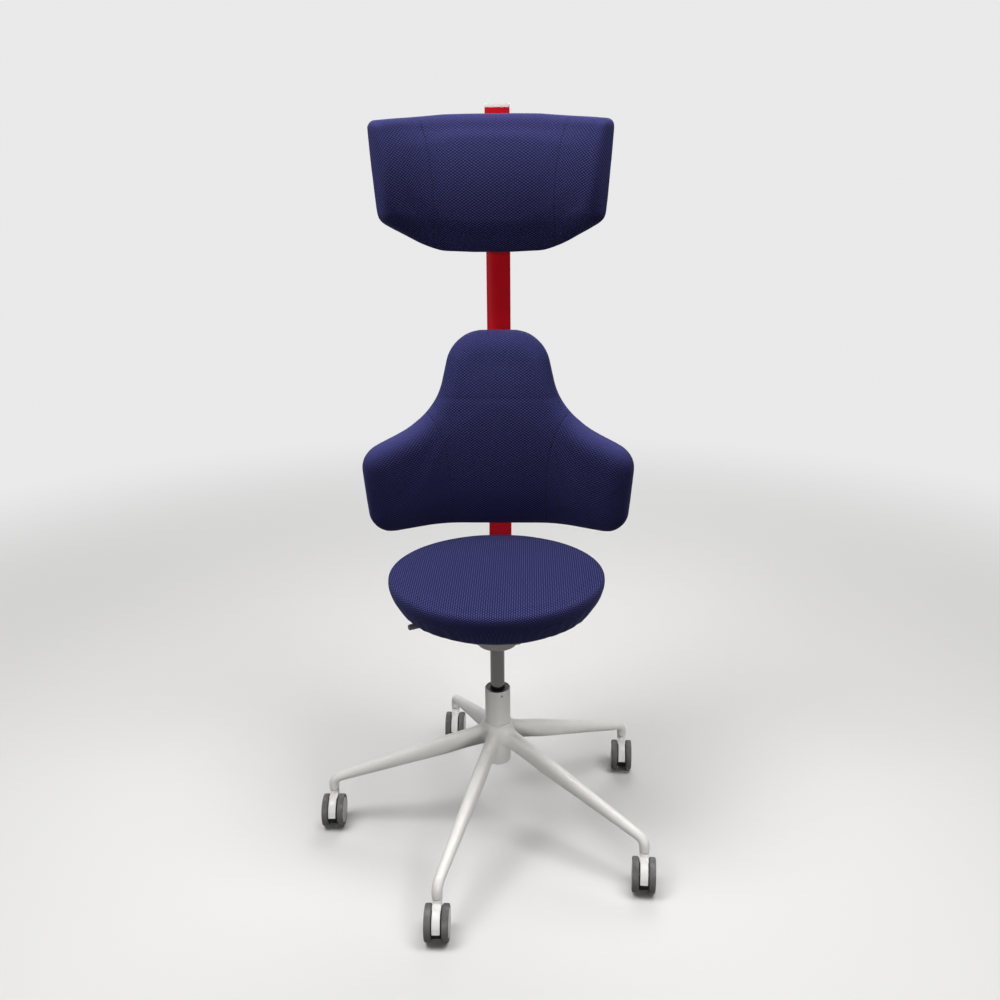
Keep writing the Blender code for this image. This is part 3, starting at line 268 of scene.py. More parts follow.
@cache
def panel_group() -> Tree:
    """Shader group that turns the knit in a pad's wing panels and marks the seams beside them.

    Returns:
        The group's tree.
    """
    numbers = ("Middle", "Foot", "Rise", "Power", "Turn", "Width")
    graph, start, end = new_group(
        "pad_panels",
        {"Place": "Vector", **dict.fromkeys(numbers, "Float")},
        {"Place": "Vector", "Seam": "Float"},
    )
    value = start.outputs
    side, height, _ = graph.split(value["Place"])
    side = graph.math("SUBTRACT", side, value["Middle"])
    climb = graph.math("POWER", graph.math("MAXIMUM", height, 0.0), value["Power"])
    line = graph.math("MULTIPLY_ADD", climb, value["Rise"], value["Foot"])
    past = graph.math("SUBTRACT", graph.math("ABSOLUTE", side), line)
    wing = graph.math("GREATER_THAN", past, 0.0)
    cosine, sine = (graph.math(word, value["Turn"]) for word in ("COSINE", "SINE"))
    across = graph.math("MULTIPLY", past, cosine)
    across = graph.math("SUBTRACT", across, graph.math("MULTIPLY", height, sine))
    along = graph.math("MULTIPLY", past, sine)
    along = graph.math("ADD", along, graph.math("MULTIPLY", height, cosine))
    panel = graph.join(graph.choose(wing, side, across), graph.choose(wing, height, along))
    near = graph.ease(graph.math("ABSOLUTE", past), 0.0, value["Width"])
    graph.wire(end, {"Place": panel, "Seam": graph.math("SUBTRACT", 1.0, near)})
    return graph.tree


@cache
def grain_group() -> Tree:
    """Shader group of a fine grain, with broad clouds in its tone.

    Returns:
        The group's tree.
    """
    graph, start, end = new_group(
        "fine_grain", {"Place": "Vector", "Scale": "Float"}, {"Grain": "Float", "Cloud": "Float"}
    )
    spot, scale = start.outputs["Place"], start.outputs["Scale"]
    grain = graph.noise(spot, scale, NOISE_DETAIL)
    broad = graph.noise(spot, graph.math("MULTIPLY", scale, CLOUD_SHARE), NOISE_DETAIL)
    graph.wire(end, {"Grain": grain, "Cloud": graph.ease(broad, *CLOUD_EDGES)})
    return graph.tree


@cache
def facing_group() -> Tree:
    """Shader group that tells how far a surface faces up.

    Returns:
        The group's tree.
    """
    graph, start, end = new_group("facing_up", {"Low": "Float", "High": "Float"}, {"Up": "Float"})
    _, _, up = graph.split(graph.add("ShaderNodeNewGeometry").outputs["Normal"])
    graph.feed(end.inputs["Up"], graph.ease(up, start.outputs["Low"], start.outputs["High"]))
    return graph.tree


def facing_up(graph: Graph, edges: Point2) -> Socket:
    """Mask of what faces up, rising between two values of the normal's upward part."""
    return graph.use(facing_group(), Low=edges[0], High=edges[1]).outputs["Up"]


@cache
def dust_group() -> Tree:
    """Shader group of dust that settles in patches on what faces up.

    Returns:
        The group's tree.
    """
    graph, start, end = new_group("settled_dust", {"Place": "Vector", "Amount": "Float"}, {"Dust": "Float"})
    lying = facing_up(graph, DUST_FACING)
    patches = graph.ease(graph.noise(start.outputs["Place"], DUST_SCALE, DUST_DETAIL), *DUST_EDGES)
    settled = graph.math("MULTIPLY", lying, patches)
    graph.feed(end.inputs["Dust"], graph.math("MULTIPLY", settled, start.outputs["Amount"]))
    return graph.tree


# Finishes

def shade(colour: Colour, factor: float) -> Shade:
    """Linear colour with full alpha, made lighter or darker by a factor."""
    return (*(min(1.0, channel * factor) for channel in colour), 1.0)


@dataclass(frozen=True)
class Finish:
    """Painted, moulded or metal finish with a fine grain and a little dust."""

    name: str
    slot: Slot
    colour: Colour
    roughness: float
    metallic: float = 0.0
    coat: float = 0.0
    coat_roughness: float = 0.12
    grain_scale: float = 900.0
    grain_depth: float = 0.02 * MM
    spread: float = 0.05
    specular: float = 0.5
    gloss_spread: float = 0.1
    stretch: Point3 = (1.0, 1.0, 1.0)
    dust: float = 0.0
    dust_colour: Colour = (0.42, 0.40, 0.38)

    def tones(self) -> tuple[Shade, Shade]:
        """Darkest and lightest tone of the colour."""
        return shade(self.colour, 1 - self.spread), shade(self.colour, 1 + self.spread)

    def material(self) -> bpy.types.Material:
        """Make the finish's material, once.

        Returns:
            The material.
        """
        if self.name in bpy.data.materials:
            return bpy.data.materials[self.name]
        material = bpy.data.materials.new(self.name)
        material.use_nodes = True
        graph = Graph(material.node_tree)
        self.wire(graph, material.node_tree.nodes["Principled BSDF"])
        return material

    def wire(self, graph: Graph, shader: Node) -> None:
        """Wire the finish's nodes to its shader.

        Args:
            graph: Graph of the material's tree.
            shader: The material's Principled shader.
        """
        place = graph.add("ShaderNodeTexCoord").outputs["Object"]
        drawn = place
        if self.stretch != (1.0, 1.0, 1.0):
            mapping = graph.add("ShaderNodeMapping", {"Vector": place, "Scale": self.stretch})
            drawn = mapping.outputs[0]
        grain = graph.use(grain_group(), Place=drawn, Scale=self.grain_scale)
        colour = graph.mix(grain.outputs["Cloud"], *self.tones())
        if self.dust:
            dust = graph.use(dust_group(), Place=place, Amount=self.dust)
            colour = graph.mix(dust.outputs["Dust"], colour, (*self.dust_colour, 1.0))
        base = self.roughness - self.gloss_spread / 2
        rough = graph.math("MULTIPLY_ADD", grain.outputs["Grain"], self.gloss_spread, base)
        graph.wire(shader, {"Base Color": colour, "Roughness": rough, "Metallic": self.metallic,
                            "Specular IOR Level": self.specular, "Coat Weight": self.coat,
                            "Coat Roughness": self.coat_roughness})
        graph.emboss(shader, grain.outputs["Grain"], self.grain_depth)


@dataclass(frozen=True)
class SeamLine:
    """Seam between a pad's middle panel and its wings, alike on both sides of the middle."""

    foot: float
    rise: float
    power: int
    middle: float
    turn: float
    width: float = 2.0 * MM
    groove: float = 0.7 * MM

    def half(self, height: Array) -> Array:
        """Distance of the seam from the middle, along the pad's section, at heights above its foot."""
        return self.foot + self.rise * np.maximum(height, 0) ** self.power


@dataclass(frozen=True)
class KnitFinish(Finish):
    """Spacer knit: raised loops in staggered rows over a dark ground, read from the piece's cloth map, with
    painted light on what faces up and painted shade on a seat's side.
    """

    pitch: float = 7.6 * MM
    course: float = 5.1 * MM
    rib: float = 0.1
    loop_depth: float = 0.32 * MM
    ground_share: float = 0.13
    # Share by which the dark ground is painted lighter on what faces up: painted light from above.
    painted_top_light: float = 0.45
    # How far the knit is flattened and darkened on what faces out or down, and the loop share it goes to
    # there: painted shade on the side.
    painted_side_shade: float = 0.0
    side_shade_loop: float = 0.25
    lying_edges: Point2 = (-0.05, 0.8)
    side_edges: Point2 = (-0.1, 0.35)
    specular: float = 0.1
    sheen: float = 0.04
    sheen_roughness: float = 0.45
    sheen_tint: Colour = (0.45, 0.45, 0.9)
    seam: SeamLine | None = None
    seam_shade: float = 0.3

    def wire(self, graph: Graph, shader: Node) -> None:
        """Wire the knit's nodes to its shader.

        Args:
            graph: Graph of the material's tree.
            shader: The material's Principled shader.
        """
        place = graph.add("ShaderNodeUVMap", uv_map=CLOTH_MAP).outputs[0]
        seam = None
        if self.seam is not None:
            line = self.seam
            panels = graph.use(panel_group(), Place=place, Middle=line.middle, Foot=line.foot,
                               Rise=line.rise, Power=line.power, Turn=line.turn, Width=line.width)
            place, seam = panels.outputs["Place"], panels.outputs["Seam"]
        lying = facing_up(graph, self.lying_edges)
        rib = graph.math("MULTIPLY", lying, self.rib)
        knit = graph.use(knit_group(), Place=place, Pitch=self.pitch, Course=self.course, Rib=rib)
        loop, height = knit.outputs["Loop"], knit.outputs["Relief"]
        # On what faces out or down, loop share and relief go to a constant below the loop's mean: the knit is
        # flattened there and shade is painted on the side.
        if self.painted_side_shade > 0:
            below = graph.math("SUBTRACT", 1.0, facing_up(graph, self.side_edges))
            side_shade_mask = graph.math("MULTIPLY", below, self.painted_side_shade)
            loop, height = (graph.choose(side_shade_mask, part, self.side_shade_loop) for part in (loop, height))
        yarn = graph.mix(knit.outputs["Fleck"], *self.tones())
        # The ground is painted lighter on what faces up: painted light from above.
        painted_top_light = graph.math("MULTIPLY", lying, self.painted_top_light)
        ground = graph.mix(painted_top_light, shade(self.colour, self.ground_share), shade(self.colour, 1.0))
        colour = graph.mix(loop, ground, yarn)
        if seam is not None:
            shaded = graph.math("MULTIPLY", seam, self.seam_shade)
            colour = graph.mix(shaded, colour, shade(self.colour, self.ground_share / 2))
            height = graph.math("SUBTRACT", height, seam)
        graph.wire(shader, {"Base Color": colour, "Roughness": self.roughness,
                            "Specular IOR Level": self.specular, "Sheen Weight": self.sheen,
                            "Sheen Roughness": self.sheen_roughness, "Sheen Tint": (*self.sheen_tint, 1.0)})
        graph.emboss(shader, height, self.loop_depth)


NAVY: Colour = (0.052, 0.053, 0.196)
SEAT_NAVY: Colour = (0.098, 0.100, 0.360)
BACK_SEAM = SeamLine(foot=99.3 * MM, rise=13.9, power=4, middle=0.0, turn=math.radians(4))
HEAD_SEAM = SeamLine(foot=118.7 * MM, rise=1.91, power=3, middle=6.5 * MM, turn=math.radians(5))
# The seat's knit has painted shade on its side and a little painted light on its top.
SEAT_KNIT = KnitFinish("knit_seat", Slot.KNIT, SEAT_NAVY, 0.85, spread=0.3, pitch=8.2 * MM, rib=0.92,
                       ground_share=0.03, painted_top_light=0.05, painted_side_shade=0.9)
BACK_KNIT = KnitFinish("knit_back", Slot.KNIT, NAVY, 0.85, spread=0.3, course=5.45 * MM, seam=BACK_SEAM)
HEAD_KNIT = KnitFinish("knit_head", Slot.KNIT, NAVY, 0.85, spread=0.3, seam=HEAD_SEAM)
THREAD = Finish("thread", Slot.KNIT, (0.012, 0.012, 0.04), 0.8, grain_scale=4000.0)
STAR_PAINT = Finish("star_paint", Slot.STAR, (0.83, 0.805, 0.775), 0.36, coat=0.1, spread=0.02, dust=0.1)
TUBE_PAINT = Finish("tube_paint", Slot.TUBE, (0.83, 0.805, 0.775), 0.36, coat=0.1, spread=0.02)
WHITE_PLASTIC = Finish("white_plastic_satin", Slot.WHITE, (0.83, 0.81, 0.79), 0.32, spread=0.02, dust=0.08)
RED_PAINT = Finish("red_gloss_paint", Slot.RED, (0.57, 0.006, 0.014), 0.42, specular=0.09, spread=0.05)
GREY_PLASTIC = Finish("grey_plastic_grained", Slot.GREY, (0.38, 0.372, 0.365), 0.48, grain_depth=0.05 * MM)
# The grip's colour is darkened to the shade it sits in under the seat: partly painted shade over its dark
# plastic.
GRIP_PLASTIC = Finish("grip_plastic_grained", Slot.GREY, (0.055, 0.053, 0.055), 0.5, grain_depth=0.05 * MM)
DISC_PLASTIC = Finish("disc_plastic", Slot.GREY, (0.64, 0.625, 0.61), 0.42, dust=0.1)
BLACK_PLASTIC = Finish("black_plastic_grained", Slot.BLACK, (0.016, 0.016, 0.017), 0.5,
                       grain_depth=0.06 * MM, spread=0.1)
# Near black, darker than the other black plastic: the core's and wheel bodies' own black, deepened into
# painted shade between the wheels and in the tyres' grooves.
CORE_BLACK_AND_SHADE = Finish("core_plastic", Slot.BLACK, (0.006, 0.006, 0.008), 0.6, specular=0.12,
                      grain_depth=0.05 * MM)
TREAD_RUBBER = Finish("tread_rubber_dusty", Slot.TREAD, (0.14, 0.135, 0.13), 0.72, specular=0.25,
                      grain_depth=0.06 * MM, spread=0.12, dust=0.3)
# Base colour far darker than real chrome, so the lift's reflections come out dark: painted dark reflection of
# shaded surroundings.
CHROME = Finish("lift_chrome", Slot.CHROME, (0.11, 0.107, 0.105), 0.16, metallic=1.0, grain_depth=0.002 * MM,
                stretch=(1.0, 1.0, 0.04), gloss_spread=0.08, spread=0.04)
STEEL = Finish("turned_steel", Slot.STEEL, (0.42, 0.42, 0.43), 0.34, metallic=1.0, grain_depth=0.004 * MM,
               stretch=(1.0, 1.0, 8.0))


# Meshes

def close(form: bmesh.types.BMesh) -> Mesh:
    """Turn a finished form into a mesh with its faces outward.

    Args:
        form: Form that is used up.

    Returns:
        The mesh.
    """
    bmesh.ops.remove_doubles(form, verts=form.verts, dist=TINY)
    bmesh.ops.recalc_face_normals(form, faces=form.faces)
    mesh = bpy.data.meshes.new("shape")
    form.to_mesh(mesh)
    form.free()
    return mesh


def moved(mesh: Mesh, matrix: Matrix) -> Mesh:
    """Move a mesh by a matrix and give back the same mesh."""
    mesh.transform(matrix)
    return mesh


def merged(*meshes: Mesh) -> Mesh:
    """Put several meshes into one.

    Args:
        meshes: Meshes that are used up.

    Returns:
        The one mesh.
    """
    form = bmesh.new()
    for mesh in meshes:
        form.from_mesh(mesh)
        bpy.data.meshes.remove(mesh)
    mesh = bpy.data.meshes.new("shape")
    form.to_mesh(mesh)
    form.free()
    return mesh


def arc(centre: Point2, radius: float, start: float, end: float, steps: int) -> list[Point2]:
    """Points on an arc from one angle to another in so many steps, both ends included."""
    turns = [start + (end - start) * k / steps for k in range(steps + 1)]
    return [(centre[0] + radius * math.cos(a), centre[1] + radius * math.sin(a)) for a in turns]


def rounded(corners: Sequence[Corner], closed: bool = False, steps: int = 5) -> list[Point2]:
    """Path whose corners are rounded.

    Args:
        corners: Place and radius of each corner.
        closed: Whether the last corner runs on to the first one.
        steps: Steps in each rounding.

    Returns:
        The path's points.
    """
    path: list[Point2] = []
    last = len(corners) - 1
    for index, (x, y, radius) in enumerate(corners):
        here = Vector((x, y))
        if radius <= 0 or (not closed and index in (0, last)):
            path.append((x, y))
            continue
        before = (Vector(corners[index - 1][:2]) - here).normalized()
        after = (Vector(corners[(index + 1) % len(corners)][:2]) - here).normalized()
        half = before.angle(after) / 2
        centre = here + (before + after).normalized() * (radius / math.sin(half))
        first = here + before * (radius / math.tan(half)) - centre
        final = here + after * (radius / math.tan(half)) - centre
        start = math.atan2(first.y, first.x)
        sweep = (math.atan2(final.y, final.x) - start + math.pi) % math.tau - math.pi
        path += arc((centre.x, centre.y), radius, start, start + sweep, steps)
    return path


def loft_form(rings: Sequence[Sequence[Point3]]) -> bmesh.types.BMesh:
    """Skin over rings of as many points each, closed at both ends.

    Args:
        rings: The rings in order.

    Returns:
        The form, whose last two faces are its ends.
    """
    form = bmesh.new()
    rows = [[form.verts.new(point) for point in ring] for ring in rings]
    for low, high in zip(rows, rows[1:]):
        for k in range(len(low)):
            form.faces.new((low[k - 1], low[k], high[k], high[k - 1]))
    for row in (rows[0], rows[-1]):
        form.faces.new(row)
    return form


def lofted(rings: Sequence[Sequence[Point3]]) -> Mesh:
    """Mesh of the closed skin over rings of as many points each."""
    return close(loft_form(rings))


def slab(outline: Sequence[Point2], low: float, high: float, bevel: float, steps: int = 3) -> Mesh:
    """Plate with a rounded rim.

    Args:
        outline: Its outline in X and Y.
        low: Height of its lower face.
        high: Height of its upper face.
        bevel: Radius of its rim.
        steps: Steps in the rim.

    Returns:
        The mesh.
    """
    form = loft_form([[(x, y, z) for x, y in outline] for z in (low, high)])
    form.faces.ensure_lookup_table()
    caps = [form.faces[-2], form.faces[-1]]
    rim = list({edge for face in caps for edge in face.edges})
    bmesh.ops.bevel(form, geom=rim, offset=bevel, offset_type="OFFSET", segments=steps, profile=0.5,
                    affect="EDGES", clamp_overlap=True)
    return close(form)


def turned(profile: Sequence[Point2], sides: int = 64, ring: bool = False) -> Mesh:
    """Piece turned about Z.

    Args:
        profile: Radius and height of its half section.
        sides: Steps in a turn.
        ring: Whether the half section closes on itself.

    Returns:
        The mesh.
    """
    form = bmesh.new()
    rows = []
    for radius, height in profile:
        if radius < TINY:
            rows.append([form.verts.new((0, 0, height))])
            continue
        turns = [math.tau * k / sides for k in range(sides)]
        rows.append([form.verts.new((radius * math.cos(a), radius * math.sin(a), height)) for a in turns])
    pairs = list(zip(rows, rows[1:])) + ([(rows[-1], rows[0])] if ring else [])
    for low, high in pairs:
        for k in range(sides):
            steps = ((low, k - 1), (low, k), (high, k), (high, k - 1))
            corners = tuple(dict.fromkeys(row[step % len(row)] for row, step in steps))
            if len(corners) > 2:
                form.faces.new(corners)
    return close(form)


def swept(path: Sequence[Vector], radius: float, sides: int = 24) -> Mesh:
    """Round bar along a level path.

    Args:
        path: Points of its middle line, all at one height.
        radius: Its radius.
        sides: Steps round it.

    Returns:
        The mesh.
    """
    rings = []
    for index, point in enumerate(path):
        before, after = path[max(index - 1, 0)], path[min(index + 1, len(path) - 1)]
        run = (after - before).normalized()
        across, above = Vector((-run.y, run.x, 0)), Vector((0, 0, 1))
        turns = [math.tau * k / sides for k in range(sides)]
        rings.append([tuple(point + radius * (across * math.cos(a) + above * math.sin(a))) for a in turns])
    return lofted(rings)


STANDING = Matrix(((0, 0, 1), (1, 0, 0), (0, 1, 0))).to_4x4()  # X, Y and Z go to Y, Z and X
ON_EDGE = Matrix.Rotation(math.pi / 2, 4, "X")  # Z goes to -Y
SQUARE = ((-1, -1), (1, -1), (1, 1), (-1, 1))


def linked(name: str, data: bpy.types.ID) -> bpy.types.Object:
    """New object in the scene.

    Args:
        name: Its name.
        data: Its mesh, light or camera.

    Returns:
        The object.
    """
    obj = bpy.data.objects.new(name, data)
    bpy.context.scene.collection.objects.link(obj)
    return obj


def baked(obj: bpy.types.Object, keep: bool = False) -> Mesh:
    """Mesh of an object with its modifiers applied.

    Args:
        obj: Object that is read.
        keep: Whether the object stays in the scene.

    Returns:
        A new mesh.
    """
    bpy.context.view_layer.update()
    mesh = bpy.data.meshes.new_from_object(obj.evaluated_get(bpy.context.evaluated_depsgraph_get()))
    if not keep:
        bpy.data.objects.remove(obj)
    return mesh


def cut(body: Mesh, *tools: Mesh) -> Mesh:
    """Cut tools out of a body.

    Args:
        body: Mesh that is cut.
        tools: Meshes that are taken away.

    Returns:
        The cut mesh.
    """
    carrier = linked("carrier", body)
    helpers = [linked("tool", tool) for tool in tools]
    for helper in helpers:
        modifier = carrier.modifiers.new("cut", "BOOLEAN")
        modifier.operation = "DIFFERENCE"
        modifier.solver = "EXACT"
        modifier.object = helper
    mesh = baked(carrier)
    for helper in helpers:
        bpy.data.objects.remove(helper)
    return mesh


def voxels(mesh: Mesh, size: float) -> Mesh:
    """Even skin over a mesh, with its overlapping bodies as one.

    Args:
        mesh: Mesh that is used up.
        size: Size of a voxel.

    Returns:
        The new mesh.
    """
    carrier = linked("carrier", mesh)
    remesh = carrier.modifiers.new("voxels", "REMESH")
    remesh.mode = "VOXEL"
    remesh.voxel_size = size
    return baked(carrier)


def rows_of(source: bpy.types.bpy_prop_collection, field: str) -> Array:
    """Vectors of a mesh.

    Args:
        source: The mesh's collection that holds them.
        field: Their name there.

    Returns:
        One row per vector.
    """
    values = np.empty(len(source) * 3)
    source.foreach_get(field, values)
    return values.reshape(-1, 3)


def places_of(mesh: Mesh) -> Array:
    """Points of a mesh, one row each."""
    return rows_of(mesh.vertices, "co")


def normals_of(mesh: Mesh) -> Array:
    """Normals at a mesh's points, one row each."""
    return rows_of(mesh.vertex_normals, "vector")


def set_places(mesh: Mesh, places: Array) -> None:
    """Move each point of a mesh to its row of places."""
    mesh.vertices.foreach_set("co", places.astype(np.float32).ravel())
    mesh.update()


def softened(mesh: Mesh, values: Array, pull: Array, rounds: int) -> Array:
    """Spread values over a mesh: each point's go toward the mean of its neighbours'.

    Args:
        mesh: Mesh that the values lie on.
        values: One row per point.
        pull: Share of the way that each point's values go in a round.
        rounds: How many rounds.

    Returns:
        The softened values.
    """
    ends = np.empty(len(mesh.edges) * 2, np.int32)
    mesh.edges.foreach_get("vertices", ends)
    first, second = ends.reshape(-1, 2).T
    count = len(mesh.vertices)
    neighbours = np.bincount(ends, minlength=count)
    values = values.copy()
    for _ in range(rounds):
        for column in values.T:
            total = np.bincount(first, column[second], count) + np.bincount(second, column[first], count)
            column += pull * (total / neighbours - column)
    return values


def relax(mesh: Mesh, pull: Array, rounds: int) -> None:
    """Draw each point of a mesh toward the middle of its neighbours, by its pull in each round."""
    set_places(mesh, softened(mesh, places_of(mesh), pull, rounds))


def eased(values: Array, low: float, high: float) -> Array:
    """Rise smoothly from 0 to 1 where values go from low to high."""
    share = np.clip((values - low) / (high - low), 0, 1)
    return share * share * (3 - 2 * share)


def set_cloth_map(mesh: Mesh, places: Array) -> None:
    """Give a mesh the map that its knit is read from.

    Args:
        mesh: Mesh that is changed.
        places: Place on the cloth of each point, in metres.
    """
    corners = np.empty(len(mesh.loops), np.int32)
    mesh.loops.foreach_get("vertex_index", corners)
    layer = mesh.uv_layers.get(CLOTH_MAP) or mesh.uv_layers.new(name=CLOTH_MAP)
    layer.data.foreach_set("uv", places[corners].astype(np.float32).ravel())


def place(
    name: str,
    mesh: Mesh,
    finish: Finish,
    body: str,
    replaces: Sequence[str] = (),
    crease: float = 38.0,
) -> bpy.types.Object:
    """Put a finished piece on its body.

    Args:
        name: Name of the piece.
        mesh: Its mesh, where it stands.
        finish: Its finish, which names its slot in the record.
        body: Body that it rides on.
        replaces: CAD nodes that it stands for.
        crease: Edges sharper than this many degrees stay sharp.

    Returns:
        The piece.
    """
    mesh.name = name
    mesh.materials.clear()
    mesh.materials.append(finish.material())
    mesh.shade_smooth()
    mesh.set_sharp_from_angle(angle=math.radians(crease))
    piece = linked(name, mesh)
    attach(piece, body)
    if replaces:
        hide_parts(*replaces)
    LOG.info("%s: %d faces on %s", name, len(mesh.polygons), body)
    return piece


# Repeated pieces

@dataclass(frozen=True)
class StitchRow:
    """Row of stitches that follows a seam, laid with geometry nodes."""

    spacing: float = 4.2 * MM
    length: float = 2.9 * MM
    thickness: float = 0.5 * MM

    @staticmethod
    @cache
    def tree() -> Tree:
        """Make the node tree, once.

        Returns:
            The tree.
        """
        inputs = {"Geometry": "Geometry", "Spacing": "Float", "Length": "Float", "Thickness": "Float",
                  "Material": "Material"}
        graph, start, end = new_group("stitch_row", inputs, {"Geometry": "Geometry"}, "GeometryNodeTree")
        value = start.outputs
        seam = graph.add("GeometryNodeMeshToCurve", {"Mesh": value["Geometry"]})
        even = graph.add("GeometryNodeResampleCurve",
                         {"Curve": seam.outputs[0], "Length": value["Spacing"]}, mode="LENGTH")
        along = graph.add("GeometryNodeInputTangent").outputs[0]
        turn = graph.add("FunctionNodeAlignRotationToVector", {"Vector": along}, axis="Z")
        thread = graph.add("GeometryNodeMeshUVSphere", {"Segments": 6, "Rings": 5, "Radius": 0.5})
        size = graph.join(*(value[label] for label in ("Thickness", "Thickness", "Length")))
        copies = graph.add("GeometryNodeInstanceOnPoints", {
            "Points": even.outputs[0], "Instance": thread.outputs[0], "Rotation": turn.outputs[0],
            "Scale": size})
        finish_copies(graph, copies, start, end)
        return graph.tree

    def lay(self, seams: Sequence[Sequence[Vector]], finish: Finish) -> Mesh:
        """Lay stitches along seams.

        Args:
            seams: Points of each seam.
            finish: Finish of the thread.

        Returns:
            Mesh of all stitches.
        """
        points = [tuple(point) for seam in seams for point in seam]
        edges, start = [], 0
        for seam in seams:
            edges += [(start + k, start + k + 1) for k in range(len(seam) - 1)]
            start += len(seam)
        mesh = bpy.data.meshes.new("seams")
        mesh.from_pydata(points, edges, [])
        values = {"Spacing": self.spacing, "Length": self.length, "Thickness": self.thickness,
                  "Material": finish.material()}
        return run_tree(self.tree(), mesh, values)


@dataclass(frozen=True)
class Copies:
    """Copies of one small item, each with its own aim, laid with geometry nodes."""

    item: Mesh

    @staticmethod
    @cache
    def tree() -> Tree:
        """Make the node tree, once.

        Returns:
            The tree.
        """
        inputs = {"Geometry": "Geometry", "Item": "Object", "Material": "Material"}
        graph, start, end = new_group("item_copies", inputs, {"Geometry": "Geometry"}, "GeometryNodeTree")
        item = graph.add("GeometryNodeObjectInfo", {"Object": start.outputs["Item"]})
        turn: Feeds = {}
        for label, settings in (("aim", {"axis": "Z"}), ("lie", {"axis": "X", "pivot_axis": "Z"})):
            read = graph.add("GeometryNodeInputNamedAttribute", {"Name": label}, data_type="FLOAT_VECTOR")
            turn["Vector"] = read.outputs[0]
            turn = {"Rotation": graph.add("FunctionNodeAlignRotationToVector", turn, **settings).outputs[0]}
        copies = graph.add("GeometryNodeInstanceOnPoints", {
            "Points": start.outputs["Geometry"], "Instance": item.outputs["Geometry"], **turn})
        finish_copies(graph, copies, start, end)
        return graph.tree

    def lay(self, spots: Sequence[tuple[Vector, Vector, Vector]], finish: Finish) -> Mesh:
        """Lay the copies.

        Args:
            spots: Place, aim (the item's Z) and lie (its X) of each copy.
            finish: Finish of the copies.

        Returns:
            Mesh of all copies.
        """
        mesh = bpy.data.meshes.new("spots")
        mesh.from_pydata([tuple(spot[0]) for spot in spots], [], [])
        for index, label in ((1, "aim"), (2, "lie")):
            values = np.array([tuple(spot[index]) for spot in spots], np.float32)
            mesh.attributes.new(label, "FLOAT_VECTOR", "POINT").data.foreach_set("vector", values.ravel())
        item = linked("item", self.item)
        made = run_tree(self.tree(), mesh, {"Item": item, "Material": finish.material()})
        bpy.data.objects.remove(item)
        return made


def finish_copies(graph: Graph, copies: Node, start: Node, end: Node) -> None:
    """End a tree of copies: make them real and give them their material.

    Args:
        graph: The tree's graph.
        copies: Node that makes the copies.
        start: The tree's input node.
        end: The tree's output node.
    """
    real = graph.add("GeometryNodeRealizeInstances", {0: copies.outputs[0]})
    feeds = {"Geometry": real.outputs[0], "Material": start.outputs["Material"]}
    graph.feed(end.inputs[0], graph.add("GeometryNodeSetMaterial", feeds).outputs[0])


def run_tree(tree: Tree, mesh: Mesh, values: dict[str, object]) -> Mesh:
    """Run a geometry tree on a mesh.

    Args:
        tree: The tree.
        mesh: Mesh that goes into it.
        values: Values of its named inputs.

    Returns:
        The mesh that comes out.
    """
    carrier = linked("carrier", mesh)
    modifier = carrier.modifiers.new("copies", "NODES")
    modifier.node_group = tree
    for entry in tree.interface.items_tree:
        if entry.in_out == "INPUT" and entry.name in values:
            modifier[entry.identifier] = values[entry.name]
    return baked(carrier)


def screw_item(radius: float) -> Mesh:
    """Pan-head screw with a hexagon socket, about Z, its seat at the origin.

    Args:
        radius: Radius of the head.

    Returns:
        The mesh.
    """
    rise = 0.62 * radius
    hexagon = 0.42 * radius
    head = [(radius, -0.2 * MM), (radius, 0.45 * rise), (0.86 * radius, 0.85 * rise), (0.6 * radius, rise),
            (hexagon, rise), (hexagon, 0.3 * rise), (0, 0.3 * rise)]
    return turned(head, sides=12)


def screw_set(places: Sequence[Sequence[float]], aim: Point3, radius: float = 3.6 * MM) -> Mesh:
    """Screws that all face one way, with their heads at given places."""
    spots = [(Vector(spot), Vector(aim), Vector((1, 0, 0))) for spot in places]
    return Copies(screw_item(radius)).lay(spots, STEEL)


# Base

